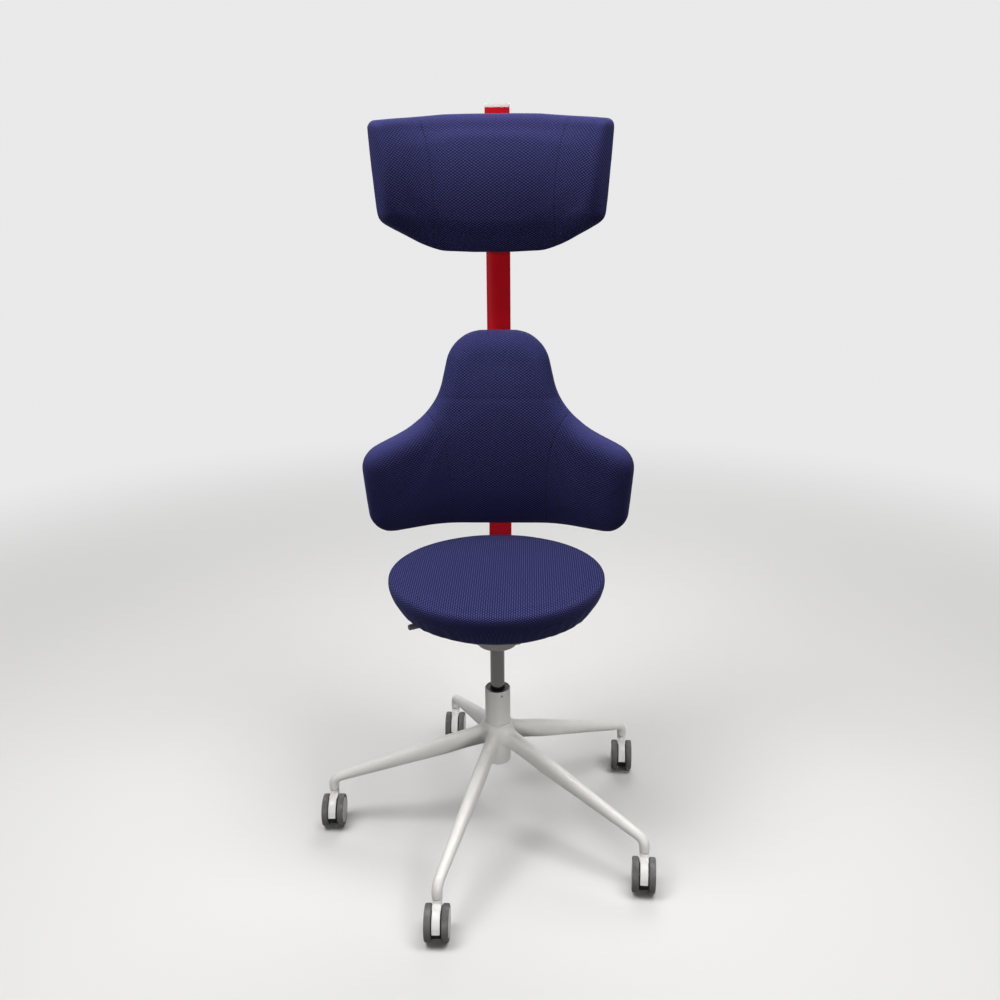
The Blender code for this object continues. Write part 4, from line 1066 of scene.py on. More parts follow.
@dataclass(frozen=True)
class StarBase:
    """Five-armed base: one casting whose arms run smoothly into the hub."""

    arms: int = 5
    first_angle: float = math.radians(181.1)
    tip_circle: float = 339 * MM
    caster_height: float = 73 * MM
    root_width: float = 29 * MM
    root_height: float = 45 * MM
    tip_diameter: float = 20 * MM
    squareness: float = 0.7
    slope: float = math.radians(18.7)
    elbow_radius: float = 20 * MM
    tip_straight: float = 10 * MM
    hub_radius: float = 32 * MM
    hub_height: float = 48 * MM
    hub_round: float = 6 * MM
    bore: float = 25.2 * MM
    voxel: float = 2.0 * MM
    blend_near: float = 58 * MM
    blend_far: float = 115 * MM
    blend_pull: float = 0.6
    blend_rounds: int = 60
    smooth_pull: float = 0.5
    smooth_rounds: int = 3

    @property
    def elbow_tangent(self) -> float:
        """Length of the elbow's tangents."""
        return self.elbow_radius * math.tan((math.pi / 2 - self.slope) / 2)

    @property
    def elbow_height(self) -> float:
        """Height of the elbow's corner."""
        return self.caster_height + self.tip_straight + self.elbow_tangent

    @property
    def hub_middle(self) -> float:
        """Height of the hub's middle."""
        return self.elbow_height + self.tip_circle * math.tan(self.slope)

    def angles(self) -> list[float]:
        """Direction of each arm about Z."""
        return [self.first_angle + k * math.tau / self.arms for k in range(self.arms)]

    def stations(self, steps: int = 18, elbow_steps: int = 12) -> list[tuple[float, ...]]:
        """Sections along an arm.

        Args:
            steps: Steps on the straight arm.
            elbow_steps: Steps round the elbow.

        Returns:
            Reach, height, fall, half width, half height and squareness of each section.
        """
        rows = []
        tip = self.tip_diameter / 2
        start = self.hub_radius / 3
        straight_end = self.tip_circle - math.cos(self.slope) * self.elbow_tangent
        for k in range(steps + 1):
            share = k / steps
            reach = start + (straight_end - start) * share
            height = self.elbow_height + (self.tip_circle - reach) * math.tan(self.slope)
            wide = self.root_width / 2 + (tip - self.root_width / 2) * share
            tall = self.root_height / 2 + (tip - self.root_height / 2) * share
            power = self.squareness + (1 - self.squareness) * share
            rows.append((reach, height, self.slope, wide, tall, power))
        middle = (self.tip_circle - self.elbow_radius, self.elbow_height - self.elbow_tangent)
        for k in range(1, elbow_steps + 1):
            fall = self.slope + (math.pi / 2 - self.slope) * k / elbow_steps
            reach = middle[0] + self.elbow_radius * math.sin(fall)
            rows.append((reach, middle[1] + self.elbow_radius * math.cos(fall), fall, tip, tip, 1.0))
        rows.append((self.tip_circle, self.caster_height, math.pi / 2, tip, tip, 1.0))
        return rows

    def arm(self, angle: float, sides: int = 32) -> Mesh:
        """One arm.

        Args:
            angle: Its direction.
            sides: Points round each section.

        Returns:
            The mesh.
        """
        rings = []
        for reach, height, fall, wide, tall, power in self.stations():
            ring = []
            for k in range(sides):
                a = math.tau * (k + 0.5) / sides
                across = wide * math.copysign(abs(math.cos(a)) ** power, math.cos(a))
                rise = tall * math.copysign(abs(math.sin(a)) ** power, math.sin(a))
                ring.append((reach + rise * math.sin(fall), across, height + rise * math.cos(fall)))
            rings.append(ring)
        return moved(lofted(rings), Matrix.Rotation(angle, 4, "Z"))

    def build(self) -> None:
        """Build the casting: arms and hub as one skin, blended where they meet, bored for the lift."""
        low = self.hub_middle - self.hub_height / 2
        high = self.hub_middle + self.hub_height / 2
        hub = turned(rounded([(0, high, 0), (self.hub_radius, high, self.hub_round),
                              (self.hub_radius, low, self.hub_round), (0, low, 0)]))
        skin = voxels(merged(hub, *(self.arm(angle) for angle in self.angles())), self.voxel)
        reach = np.hypot(*places_of(skin)[:, :2].T)
        relax(skin, np.full(len(skin.vertices), self.smooth_pull), self.smooth_rounds)
        near = 1 - eased(reach, self.blend_near, self.blend_far)
        relax(skin, self.blend_pull * near, self.blend_rounds)
        bore = turned([(0, high + self.hub_height), (self.bore, high + self.hub_height),
                       (self.bore, low - self.hub_height), (0, low - self.hub_height)])
        place("star", cut(skin, bore), STAR_PAINT, "base", ["base_star"], crease=50)


@dataclass(frozen=True)
class Caster:
    """Twin-wheel caster: white hood with a framed fender, near-black core with painted shade between the
    wheels, dark treads and light discs.
    """

    number: int
    angle: float
    heading: float
    tip_circle: float
    trail: float = 16 * MM
    axle_height: float = 32.1 * MM
    wheel_radius: float = 32.1 * MM
    wheel_width: float = 14 * MM
    wheel_bore: float = 3.4 * MM
    web_inset: float = 3.4 * MM
    disc_radius: float = 25.0 * MM
    disc_thickness: float = 4.2 * MM
    tyre_foot: float = 27.2 * MM
    tyre_inset: float = 1.0 * MM
    tyre_lap: float = 0.2 * MM
    tyre_grooves: Point2 = (9.2 * MM, 5.0 * MM)
    groove: float = 0.5 * MM
    groove_round: float = 0.2 * MM
    wheel_gap: float = 0.2 * MM
    hood_width: float = 16 * MM
    fender_width: float = 14.6 * MM
    fender_edge: float = 0.8 * MM
    side_gap: float = 0.8 * MM
    hood_outer: float = 33.1 * MM
    hood_wall: float = 3.5 * MM
    lip_angle: float = math.radians(3)
    panel_depth: float = 0.8 * MM
    panel_margin: float = 1.8 * MM
    panel_ramp: float = 0.5 * MM
    neck_start: float = math.radians(80)
    neck_bevel: float = 1.0 * MM
    neck_sink: float = 0.2 * MM
    neck_lap: float = 1.5 * MM
    neck_radius: float = 9.2 * MM
    neck_foot: float = 8.2 * MM
    neck_top: float = 72.2 * MM
    neck_height: float = 6 * MM
    collar_depth: float = 3 * MM
    collar_lap: float = 4 * MM
    core_radius: float = 26.5 * MM
    core_inset: float = 0.4 * MM
    core_bevel: float = 0.8 * MM

    @property
    def frame(self) -> Matrix:
        """Frame of the caster: its stem on Z, trailing along +X."""
        spot = (self.tip_circle * math.cos(self.angle), self.tip_circle * math.sin(self.angle), 0)
        return Matrix.Translation(spot) @ Matrix.Rotation(self.heading - math.pi / 2, 4, "Z")

    @property
    def axle_frame(self) -> Matrix:
        """Frame on the axle's middle with the axle along its Y."""
        return self.frame @ Matrix.Translation((self.trail, 0, self.axle_height))

    def fender(self, steps: int = 56) -> Mesh:
        """Fender band with a shallow framed panel, in the axle's frame.

        Args:
            steps: Steps along the band.

        Returns:
            The mesh.
        """
        crown = math.acos((self.neck_foot - self.trail) / self.hood_outer)
        half, outer = self.fender_width / 2, self.hood_outer
        inner, edge, ramp = outer - self.hood_wall, self.fender_edge, self.panel_ramp
        margin, round_in = half - self.panel_margin, edge * (1 - math.sqrt(0.5))
        rings = []
        for k in range(steps + 1):
            a = self.lip_angle + (crown - self.lip_angle) * k / steps
            run = np.array(min(a - self.lip_angle, crown - a) * outer)
            share = eased(run, self.panel_margin, self.panel_margin + 2 * ramp)
            sunk = outer - self.panel_depth * float(share)
            row = [(-half, outer - edge), (-half + round_in, outer - round_in), (-half + edge, outer),
                   (-margin, outer), (-margin + ramp, sunk), (margin - ramp, sunk), (margin, outer),
                   (half - edge, outer), (half - round_in, outer - round_in), (half, outer - edge),
                   (half, inner), (-half, inner)]
            rings.append([(radius * math.cos(a), across, radius * math.sin(a)) for across, radius in row])
        return lofted(rings)

    def neck(self) -> Mesh:
        """Block and round collar between fender and stem, in the axle's frame.

        Returns:
            The mesh.
        """
        left, right = -self.trail - self.neck_foot, -self.trail + self.neck_foot
        inner = self.hood_outer - self.hood_wall
        top = self.neck_top - self.axle_height
        shoulder = top - self.neck_height + self.neck_lap
        meeting = math.acos(right / self.hood_outer)
        outline = arc((0, 0), self.hood_outer - self.neck_sink, self.neck_start, meeting, 6)
        outline += [(right, shoulder), (left, shoulder)]
        outline += arc((0, 0), inner, math.acos(left / inner), self.neck_start, 16)
        block = moved(slab(outline, -self.hood_width / 2, self.hood_width / 2, self.neck_bevel), ON_EDGE)
        foot = shoulder - self.collar_lap
        collar = turned(rounded([
            (0, top, 0), (self.neck_radius, top, 1.2 * MM),
            (self.neck_radius, top - self.collar_depth, 1.5 * MM), (self.neck_foot, foot, 0), (0, foot, 0)]),
            sides=40)
        return merged(block, moved(collar, Matrix.Translation((-self.trail, 0, 0))))

    def core(self) -> Mesh:
        """Core between the wheels that fills the hood's arch, in the axle's frame.

        Returns:
            The mesh.
        """
        arch = self.hood_outer - self.hood_wall - FIT
        rear = math.acos((-self.trail - self.neck_foot) / arch)
        outline = arc((0, 0), arch, self.lip_angle, rear, 36)
        outline += arc((0, 0), self.core_radius, rear, self.lip_angle + math.tau, 36)
        half = self.hood_width / 2 - self.core_inset
        return moved(slab(outline, -half, half, self.core_bevel, steps=2), ON_EDGE)

    def tread(self) -> Mesh:
        """Rubber tyre with two shallow grooves, about Z, its inner face at the origin.

        Returns:
            The mesh.
        """
        outer, face, foot = self.wheel_radius, self.wheel_width - self.tyre_inset, self.tyre_foot
        deep, soft, gap = self.groove, self.groove_round, self.wheel_gap
        corners: list[Corner] = [
            (foot, face - 3 * MM, 0), (foot, face - 0.5 * MM, 0.4 * MM), (foot + 1.6 * MM, face, 0.7 * MM),
            (outer - 0.6 * MM, face - 0.6 * MM, 1.2 * MM), (outer, face - 3.2 * MM, 1.4 * MM)]
        for groove in self.tyre_grooves:
            corners += [(outer, groove + deep, soft), (outer - deep, groove, soft),
                        (outer, groove - deep, soft)]
        corners += [(outer, 2.6 * MM, 1.2 * MM), (outer - 3.0 * MM, gap, 0.9 * MM), (foot, gap, 0)]
        return turned(rounded(corners, closed=True, steps=3), sides=72, ring=True)

    def web(self) -> Mesh:
        """Dark wheel body that carries tyre and disc, about Z, near black for painted shade in the tyre's
        groove.
        """
        bore, rim, face = self.wheel_bore, self.tyre_foot + self.tyre_lap, self.wheel_width - self.web_inset
        return turned([(bore, FIT), (rim, FIT), (rim, face), (bore, face)], ring=True)

    def disc(self) -> Mesh:
        """Light outer disc, gently domed, with a raised border, about Z.

        Returns:
            The mesh.
        """
        face, rim = self.wheel_width, self.disc_radius
        rear = face - self.disc_thickness
        return turned(rounded([
            (0, face, 0), (0.45 * rim, face - 0.1 * MM, 4 * MM), (0.84 * rim, face - 0.6 * MM, 0.4 * MM),
            (0.87 * rim, face - 1.0 * MM, 0.2 * MM), (0.90 * rim, face - 0.7 * MM, 0.3 * MM),
            (rim, face - 1.1 * MM, 0.5 * MM), (rim, rear, 0), (0, rear, 0)], steps=3), sides=72)

    def build(self) -> None:
        """Build the caster's pieces on its swivelling body and its two wheels."""
        body = f"caster_{self.number}"
        hood = merged(self.fender(), self.neck())
        for word, mesh, finish in (("hood", hood, WHITE_PLASTIC), ("core", self.core(), CORE_BLACK_AND_SHADE)):
            place(f"{word}_{self.number}", moved(mesh, self.axle_frame), finish, body,
                  [f"caster_{word}_{self.number}"])
        for side in Side:
            word = side.name.lower()
            inner = side.value * (self.hood_width / 2 + self.side_gap)
            frame = (self.axle_frame @ Matrix.Translation((0, inner, 0))
                     @ Matrix.Rotation(-side.value * math.pi / 2, 4, "X"))
            wheel = f"{word}_wheel_{self.number}"
            place(f"tread_{word}_{self.number}", moved(self.tread(), frame), TREAD_RUBBER, wheel,
                  [f"wheel_{word}_{self.number}"])
            place(f"web_{word}_{self.number}", moved(self.web(), frame), CORE_BLACK_AND_SHADE, wheel)
            place(f"disc_{word}_{self.number}", moved(self.disc(), frame), DISC_PLASTIC, wheel)


@dataclass(frozen=True)
class GasLift:
    """Gas lift: painted outer tube with its pin hole, guide bush and chrome cylinder."""

    tube_radius: float = 25 * MM
    wall: float = 2 * MM
    cylinder_radius: float = 14 * MM
    hole_radius: float = 1.9 * MM
    hole_drop: float = 9 * MM
    hole_turn: float = math.radians(-69)
    floor: float = 4 * MM
    floor_hole: float = 5.4 * MM

    def build(self) -> None:
        """Build tube, bush and cylinder."""
        low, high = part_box("column_tube")
        bore = self.tube_radius - self.wall
        tube = turned(rounded([
            (bore, high.z, 0.7 * MM), (self.tube_radius, high.z, 0.9 * MM), (self.tube_radius, low.z, 4 * MM),
            (self.floor_hole, low.z, 0.6 * MM), (self.floor_hole, low.z + self.floor, 0),
            (bore, low.z + self.floor, 1 * MM)], closed=True, steps=6), sides=96, ring=True)
        reach, hole = 2 * self.wall, self.hole_radius
        drill = moved(turned([(0, reach), (hole, reach), (hole, -reach), (0, -reach)], sides=24),
                      Matrix.Rotation(math.pi / 2, 4, "Y"))
        turn = Matrix.Rotation(self.hole_turn, 4, "Z")
        drill = moved(drill, Matrix.Translation((0, 0, high.z - self.hole_drop)) @ turn
                      @ Matrix.Translation((self.tube_radius, 0, 0)))
        place("tube", cut(tube, drill), TUBE_PAINT, "base", ["column_tube"])
        low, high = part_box("guide_bush")
        inner, outer = self.cylinder_radius + FIT, bore - 0.2 * MM
        bush = turned(rounded([(inner, high.z, 0.9 * MM), (outer, high.z, 0.5 * MM), (outer, low.z, 0),
                               (inner, low.z, 0)], closed=True), sides=72, ring=True)
        place("bush", bush, BLACK_PLASTIC, "base", ["guide_bush"])
        low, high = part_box("lift_cylinder")
        radius = self.cylinder_radius
        rod = turned(rounded([(0, high.z, 0), (radius, high.z, 1 * MM), (radius, low.z, 1.2 * MM),
                              (0, low.z, 0)]), sides=72)
        place("cylinder", rod, CHROME, "seat", ["lift_cylinder"])


@dataclass(frozen=True)
class Mechanism:
    """Mechanism under the seat: round cover, seat pan with its screws, and the height lever."""

    cover_flat: float = 34 * MM
    cover_rim: float = 45 * MM
    cover_wall: float = 2.5 * MM
    cover_hole: float = 20.3 * MM
    cover_step: float = 0.8 * MM
    cover_ledge: float = 0.72
    cover_steps: int = 16
    pan_radius: float = 166 * MM
    pan_step: float = 8 * MM
    screw_count: int = 6
    screw_inset: float = 48 * MM
    pivot: Point3 = (-36 * MM, 0.0, 463.19 * MM)
    lever_radius: float = 4 * MM
    lever_inner: float = 37.5 * MM
    lever_straight: float = 36 * MM
    lever_reach: float = 124 * MM
    lever_sweep: float = 52 * MM
    lever_bend: float = 14 * MM
    trunnion_radius: float = 2.5 * MM
    trunnion_reach: float = 9 * MM
    grip_radius: float = 5.8 * MM
    grip_length: float = 52 * MM
    grip_cover: float = 6 * MM
    grip_floor: float = 4 * MM
    grip_rings: int = 4
    ring_first: float = 7 * MM
    ring_pitch: float = 5 * MM
    ring_half: float = 1.2 * MM
    ring_depth: float = 0.6 * MM

    def cover(self) -> Mesh:
        """Round cover with a stepped floor, open at the top.

        Returns:
            The mesh.
        """
        low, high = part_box("mechanism_cover")
        rise, swell = high.z - low.z, self.cover_rim - self.cover_flat
        turns = [math.pi / 2 * k / self.cover_steps for k in range(self.cover_steps + 1)]
        outside = [(self.cover_flat + swell * math.cos(a), high.z - rise * math.sin(a)) for a in turns]
        step, wall = self.cover_step, self.cover_wall
        ledge = self.cover_ledge * self.cover_flat
        inside = [(radius - wall, min(max(height, low.z) + wall, high.z)) for radius, height in outside]
        floor = [(ledge, low.z), (ledge - step, low.z + step), (self.cover_hole + step, low.z + step),
                 (self.cover_hole, low.z + 2 * step), (self.cover_hole, low.z + wall)]
        return turned(outside + floor + inside[::-1], sides=96, ring=True)

    def pan(self) -> Mesh:
        """Dished pan under the cushion.

        Returns:
            The mesh.
        """
        low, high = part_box("seat_pan")
        step = self.pan_step
        return turned(rounded([
            (0, high.z, 0), (self.pan_radius, high.z, 1.5 * MM), (self.pan_radius, low.z + step, 3 * MM),
            (self.pan_radius - step, low.z + step / 3, 4 * MM), (self.pan_radius - 4 * step, low.z, 10 * MM),
            (0, low.z, 0)]), sides=128)

    def pan_screws(self) -> Mesh:
        """Screws that hold the pan to the cushion's board, in a ring under it.

        Returns:
            The mesh.
        """
        low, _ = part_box("seat_pan")
        reach = self.pan_radius - self.screw_inset
        turns = [math.tau * (k + 0.5) / self.screw_count for k in range(self.screw_count)]
        return screw_set([(reach * math.cos(a), reach * math.sin(a), low.z) for a in turns], (0, 0, -1))

    def grip(self) -> Mesh:
        """Grip of the lever with finger rings, about Z, its open end at the origin.

        Returns:
            The mesh.
        """
        radius, length, bore = self.grip_radius, self.grip_length, self.lever_radius + FIT
        sunk = radius - self.ring_depth
        corners: list[Corner] = [(0, length, 0), (sunk, length, 2.4 * MM)]
        for k in range(self.grip_rings):
            top = length - self.ring_first - k * self.ring_pitch
            corners += [(radius, top + self.ring_half, 0.4 * MM), (sunk, top, 0.3 * MM),
                        (radius, top - self.ring_half, 0.4 * MM)]
        corners += [(radius, 0, 0.8 * MM), (bore, 0, 0), (bore, self.grip_floor, 0), (0, self.grip_floor, 0)]
        return turned(rounded(corners, steps=3), sides=40)

    def build(self) -> None:
        """Build cover, pan, lever and grip."""
        place("cover", self.cover(), GREY_PLASTIC, "seat", ["mechanism_cover"])
        place("pan", self.pan(), BLACK_PLASTIC, "seat", ["seat_pan"])
        place("pan_screws", self.pan_screws(), STEEL, "seat")
        pivot = Vector(self.pivot)
        bend = (-self.lever_straight, 0.0)
        end = Vector((-self.lever_reach, -self.lever_sweep, 0))
        route = rounded([(self.lever_inner, 0, 0), (*bend, self.lever_bend), (end.x, end.y, 0)], steps=8)
        lever = swept([pivot + Vector((x, y, 0)) for x, y in route], self.lever_radius)
        radius, reach = self.trunnion_radius, self.trunnion_reach
        trunnion = moved(turned([(0, reach), (radius, reach), (radius, -reach), (0, -reach)], sides=20),
                         Matrix.Translation(pivot) @ ON_EDGE)
        place("lever_rod", merged(lever, trunnion), STEEL, "lever", ["height_lever"])
        outward = (end - Vector((*bend, 0))).normalized()
        depth = self.grip_length - self.grip_cover
        seat = pivot + end - outward * (depth - FIT)
        turn = Vector((0, 0, 1)).rotation_difference(outward).to_matrix().to_4x4()
        place("grip", moved(self.grip(), Matrix.Translation(seat) @ turn), GRIP_PLASTIC, "lever",
              ["lever_grip"])


# Cushions

@dataclass(frozen=True)
class Stuffing:
    """How a cushion fills out: cloth blown up a little from a slightly smaller shape."""

    voxel: float = 5 * MM
    inset: float = 2.0 * MM
    pressure: float = 4.0
    stiffness: float = 30.0
    bending: float = 2.0
    cap: float = 5.0 * MM
    sink: float = 0.4 * MM
    share: float = 0.45
    wrinkle: float = 0.05
    pull: float = 0.5
    even_rounds: int = 4
    fine_rounds: int = 2
    spread_rounds: int = 90
    quality: int = 5
    mass: float = 0.3
    frames: int = 20

    def fill(self, shape: Mesh, held: Callable[[Array], Array]) -> Mesh:
        """Fill out a cushion.

        Args:
            shape: Its full shape, which is used up.
            held: Tells from their places which points its backing holds.

        Returns:
            The filled mesh, once subdivided.
        """
        form = bmesh.new()
        form.from_mesh(shape)
        skin = BVHTree.FromBMesh(form)
        form.free()
        mesh = voxels(shape, self.voxel)
        even = np.full(len(mesh.vertices), self.pull)
        relax(mesh, even, self.even_rounds)
        rest = np.array([tuple(skin.find_nearest(Vector(spot))[0]) for spot in places_of(mesh)])
        set_places(mesh, rest)
        normals = normals_of(mesh)
        fixed = held(rest)
        carrier = linked("cushion", mesh)
        set_places(mesh, rest - normals * (self.inset * ~fixed)[:, None])
        swell = ((self.blown(carrier, fixed) - rest) * normals).sum(axis=1, keepdims=True)
        broad = softened(mesh, swell, even, self.spread_rounds)
        fine = softened(mesh, swell, even, self.fine_rounds) - broad
        lift = self.share * np.clip(broad, -self.sink, self.cap)
        lift += self.wrinkle * np.clip(fine, -self.cap, self.cap)
        set_places(mesh, rest + normals * lift)
        subdivide = carrier.modifiers.new("smooth", "SUBSURF")
        subdivide.levels = subdivide.render_levels = 1
        return baked(carrier)

    def blown(self, carrier: bpy.types.Object, fixed: Array) -> Array:
        """Run the cloth with pressure inside it.

        Args:
            carrier: Object with the smaller shape.
            fixed: Which of its points are held.

        Returns:
            Where the points go.
        """
        group = carrier.vertex_groups.new(name="held")
        group.add([int(k) for k in np.flatnonzero(fixed)], 1.0, "REPLACE")
        modifier = carrier.modifiers.new("cloth", "CLOTH")
        settings = modifier.settings
        settings.quality = self.quality
        settings.mass = self.mass
        for way in ("tension", "compression", "shear"):
            setattr(settings, f"{way}_stiffness", self.stiffness)
        settings.bending_stiffness = self.bending
        settings.use_pressure = True
        settings.uniform_pressure_force = self.pressure
        settings.effector_weights.gravity = 0
        settings.vertex_group_mass = group.name
        modifier.collision_settings.use_collision = False
        modifier.point_cache.frame_start = 1
        modifier.point_cache.frame_end = self.frames
        for frame in range(1, self.frames + 1):
            bpy.context.scene.frame_set(frame)
        made = baked(carrier, keep=True)
        places = places_of(made)
        bpy.data.meshes.remove(made)
        carrier.modifiers.clear()
        carrier.vertex_groups.clear()
        bpy.context.scene.frame_set(1)
        return places


@dataclass(frozen=True)
class SeatCushion:
    """Round seat cushion: crowned top, rounded shoulder, and a side drawn in toward its foot."""

    radius: float = 206.5 * MM
    thickness: float = 70 * MM
    crown: float = 6 * MM
    shoulder: float = 5 * MM
    lip: float = 0.4 * MM
    belly: float = 0.15
    draw_in: float = 26 * MM
    side_power: float = 1.45
    held: float = 3 * MM
    gather: float = 0.7 * MM
    gather_band: Point2 = (8 * MM, 38 * MM)
    folds: int = 44
    fold_groups: tuple[int, int] = (5, 9)
    fold_drift: float = 1.7
    fold_phase: float = 0.6
    top_steps: int = 24
    side_steps: int = 16
    stuffing: Stuffing = Stuffing(cap=4.5 * MM)

    def profile(self) -> list[Point2]:
        """Half section, its foot at zero.

        Returns:
            Radius and height of its points.
        """
        edge = self.thickness - self.crown
        waist = edge - self.shoulder
        inner = self.radius - self.lip - self.shoulder
        shares = [k / self.top_steps for k in range(self.top_steps)]
        top = [(inner * share, self.thickness - self.crown * share ** 2) for share in shares]
        side = []
        for k in range(1, self.side_steps + 1):
            share = k / self.side_steps
            above = max(1 - share / self.belly, 0) ** self.side_power
            below = max((share - self.belly) / (1 - self.belly), 0) ** self.side_power
            side.append((self.radius - self.lip * above - self.draw_in * below, waist * (1 - share)))
        return top + arc((inner, waist), self.shoulder, math.pi / 2, 0, 10) + side + [(0, 0)]

    def build(self) -> None:
        """Build the cushion, gather its side a little and lay the knit over it."""
        low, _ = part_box("seat_cushion")
        shape = moved(turned(self.profile(), sides=160), Matrix.Translation((0, 0, low.z)))
        mesh = self.stuffing.fill(shape, lambda spots: spots[:, 2] < low.z + self.held)
        spots, normals = places_of(mesh), normals_of(mesh)
        reach, turn = np.hypot(spots[:, 0], spots[:, 1]), np.arctan2(spots[:, 1], spots[:, 0])
        outward = np.hypot(normals[:, 0], normals[:, 1])
        drop = low.z + self.thickness - self.crown - spots[:, 2]
        folds = np.sin(self.folds * turn + self.fold_drift * np.sin(self.fold_groups[0] * turn))
        folds *= np.sin(self.fold_groups[1] * turn + self.fold_phase)
        gather = self.gather * eased(drop, *self.gather_band) * outward * folds
        set_places(mesh, spots + normals * gather[:, None])
        stretch = (reach + outward * np.maximum(drop, 0)) / np.maximum(reach, TINY)
        set_cloth_map(mesh, spots[:, :2] * stretch[:, None])
        cushion = place("seat_knit", mesh, SEAT_KNIT, "seat", ["seat_cushion"], crease=180)


@dataclass(frozen=True)
class PadForm:
    """Middle surface of a pad: straight in the middle, wings turned forward, bowed in its height."""

    flat: float
    bend: float
    wing_angle: float
    bow_radius: float
    drop: float
    shift: float

    @property
    def turn_radius(self) -> float:
        """Radius of the bend into a wing."""
        return self.bend / self.wing_angle

    def along(self, reach: float) -> float:
        """Distance along the middle line.

        Args:
            reach: How far it has got to the side.

        Returns:
            The distance.
        """
        bend_reach = self.flat + self.turn_radius * math.sin(self.wing_angle)
        if reach <= self.flat:
            return reach
        if reach <= bend_reach:
            return self.flat + self.turn_radius * math.asin((reach - self.flat) / self.turn_radius)
        return self.flat + self.bend + (reach - bend_reach) / math.cos(self.wing_angle)

    def point(self, along: float, depth: float, height: float) -> Point3:
        """Place of a point, in the pad's frame.

        Args:
            along: Distance along the middle line.
            depth: Distance behind it.
            height: Height above the pad's foot.

        Returns:
            The place.
        """
        run = abs(along)
        angle = min(max(run - self.flat, 0) / self.turn_radius, self.wing_angle)
        past = max(run - self.flat - self.bend, 0)
        reach = min(run, self.flat) + self.turn_radius * math.sin(angle) + past * math.cos(angle)
        ahead = self.turn_radius * (1 - math.cos(angle)) + past * math.sin(angle)
        bow = self.bow_radius - math.sqrt(self.bow_radius ** 2 - (height - self.drop) ** 2)
        aside = self.shift + math.copysign(reach + depth * math.sin(angle), along)
        return (aside, bow - ahead + depth * math.cos(angle), height)

    def unrolled(self, spots: Array) -> tuple[Array, Array, Array]:
        """Inverse of point for many places.

        Args:
            spots: Places in the pad's frame.

        Returns:
            Their distances along and behind the middle line, and the angle of the section there.
        """
        side = np.where(spots[:, 0] < self.shift, -1.0, 1.0)
        across = np.abs(spots[:, 0] - self.shift)
        above = np.clip(spots[:, 2] - self.drop, -self.bow_radius, self.bow_radius)
        back = spots[:, 1] - (self.bow_radius - np.sqrt(self.bow_radius ** 2 - above ** 2))
        radius = self.turn_radius
        angle = np.clip(np.arctan2(across - self.flat, back + radius), 0, self.wing_angle)
        outward, inward = np.sin(angle), np.cos(angle)
        from_middle = np.stack([across - self.flat, back + radius], axis=1)
        depth = from_middle[:, 0] * outward + from_middle[:, 1] * inward - radius
        run = self.flat + radius * angle + from_middle[:, 0] * inward - from_middle[:, 1] * outward
        return side * run, depth, side * angle


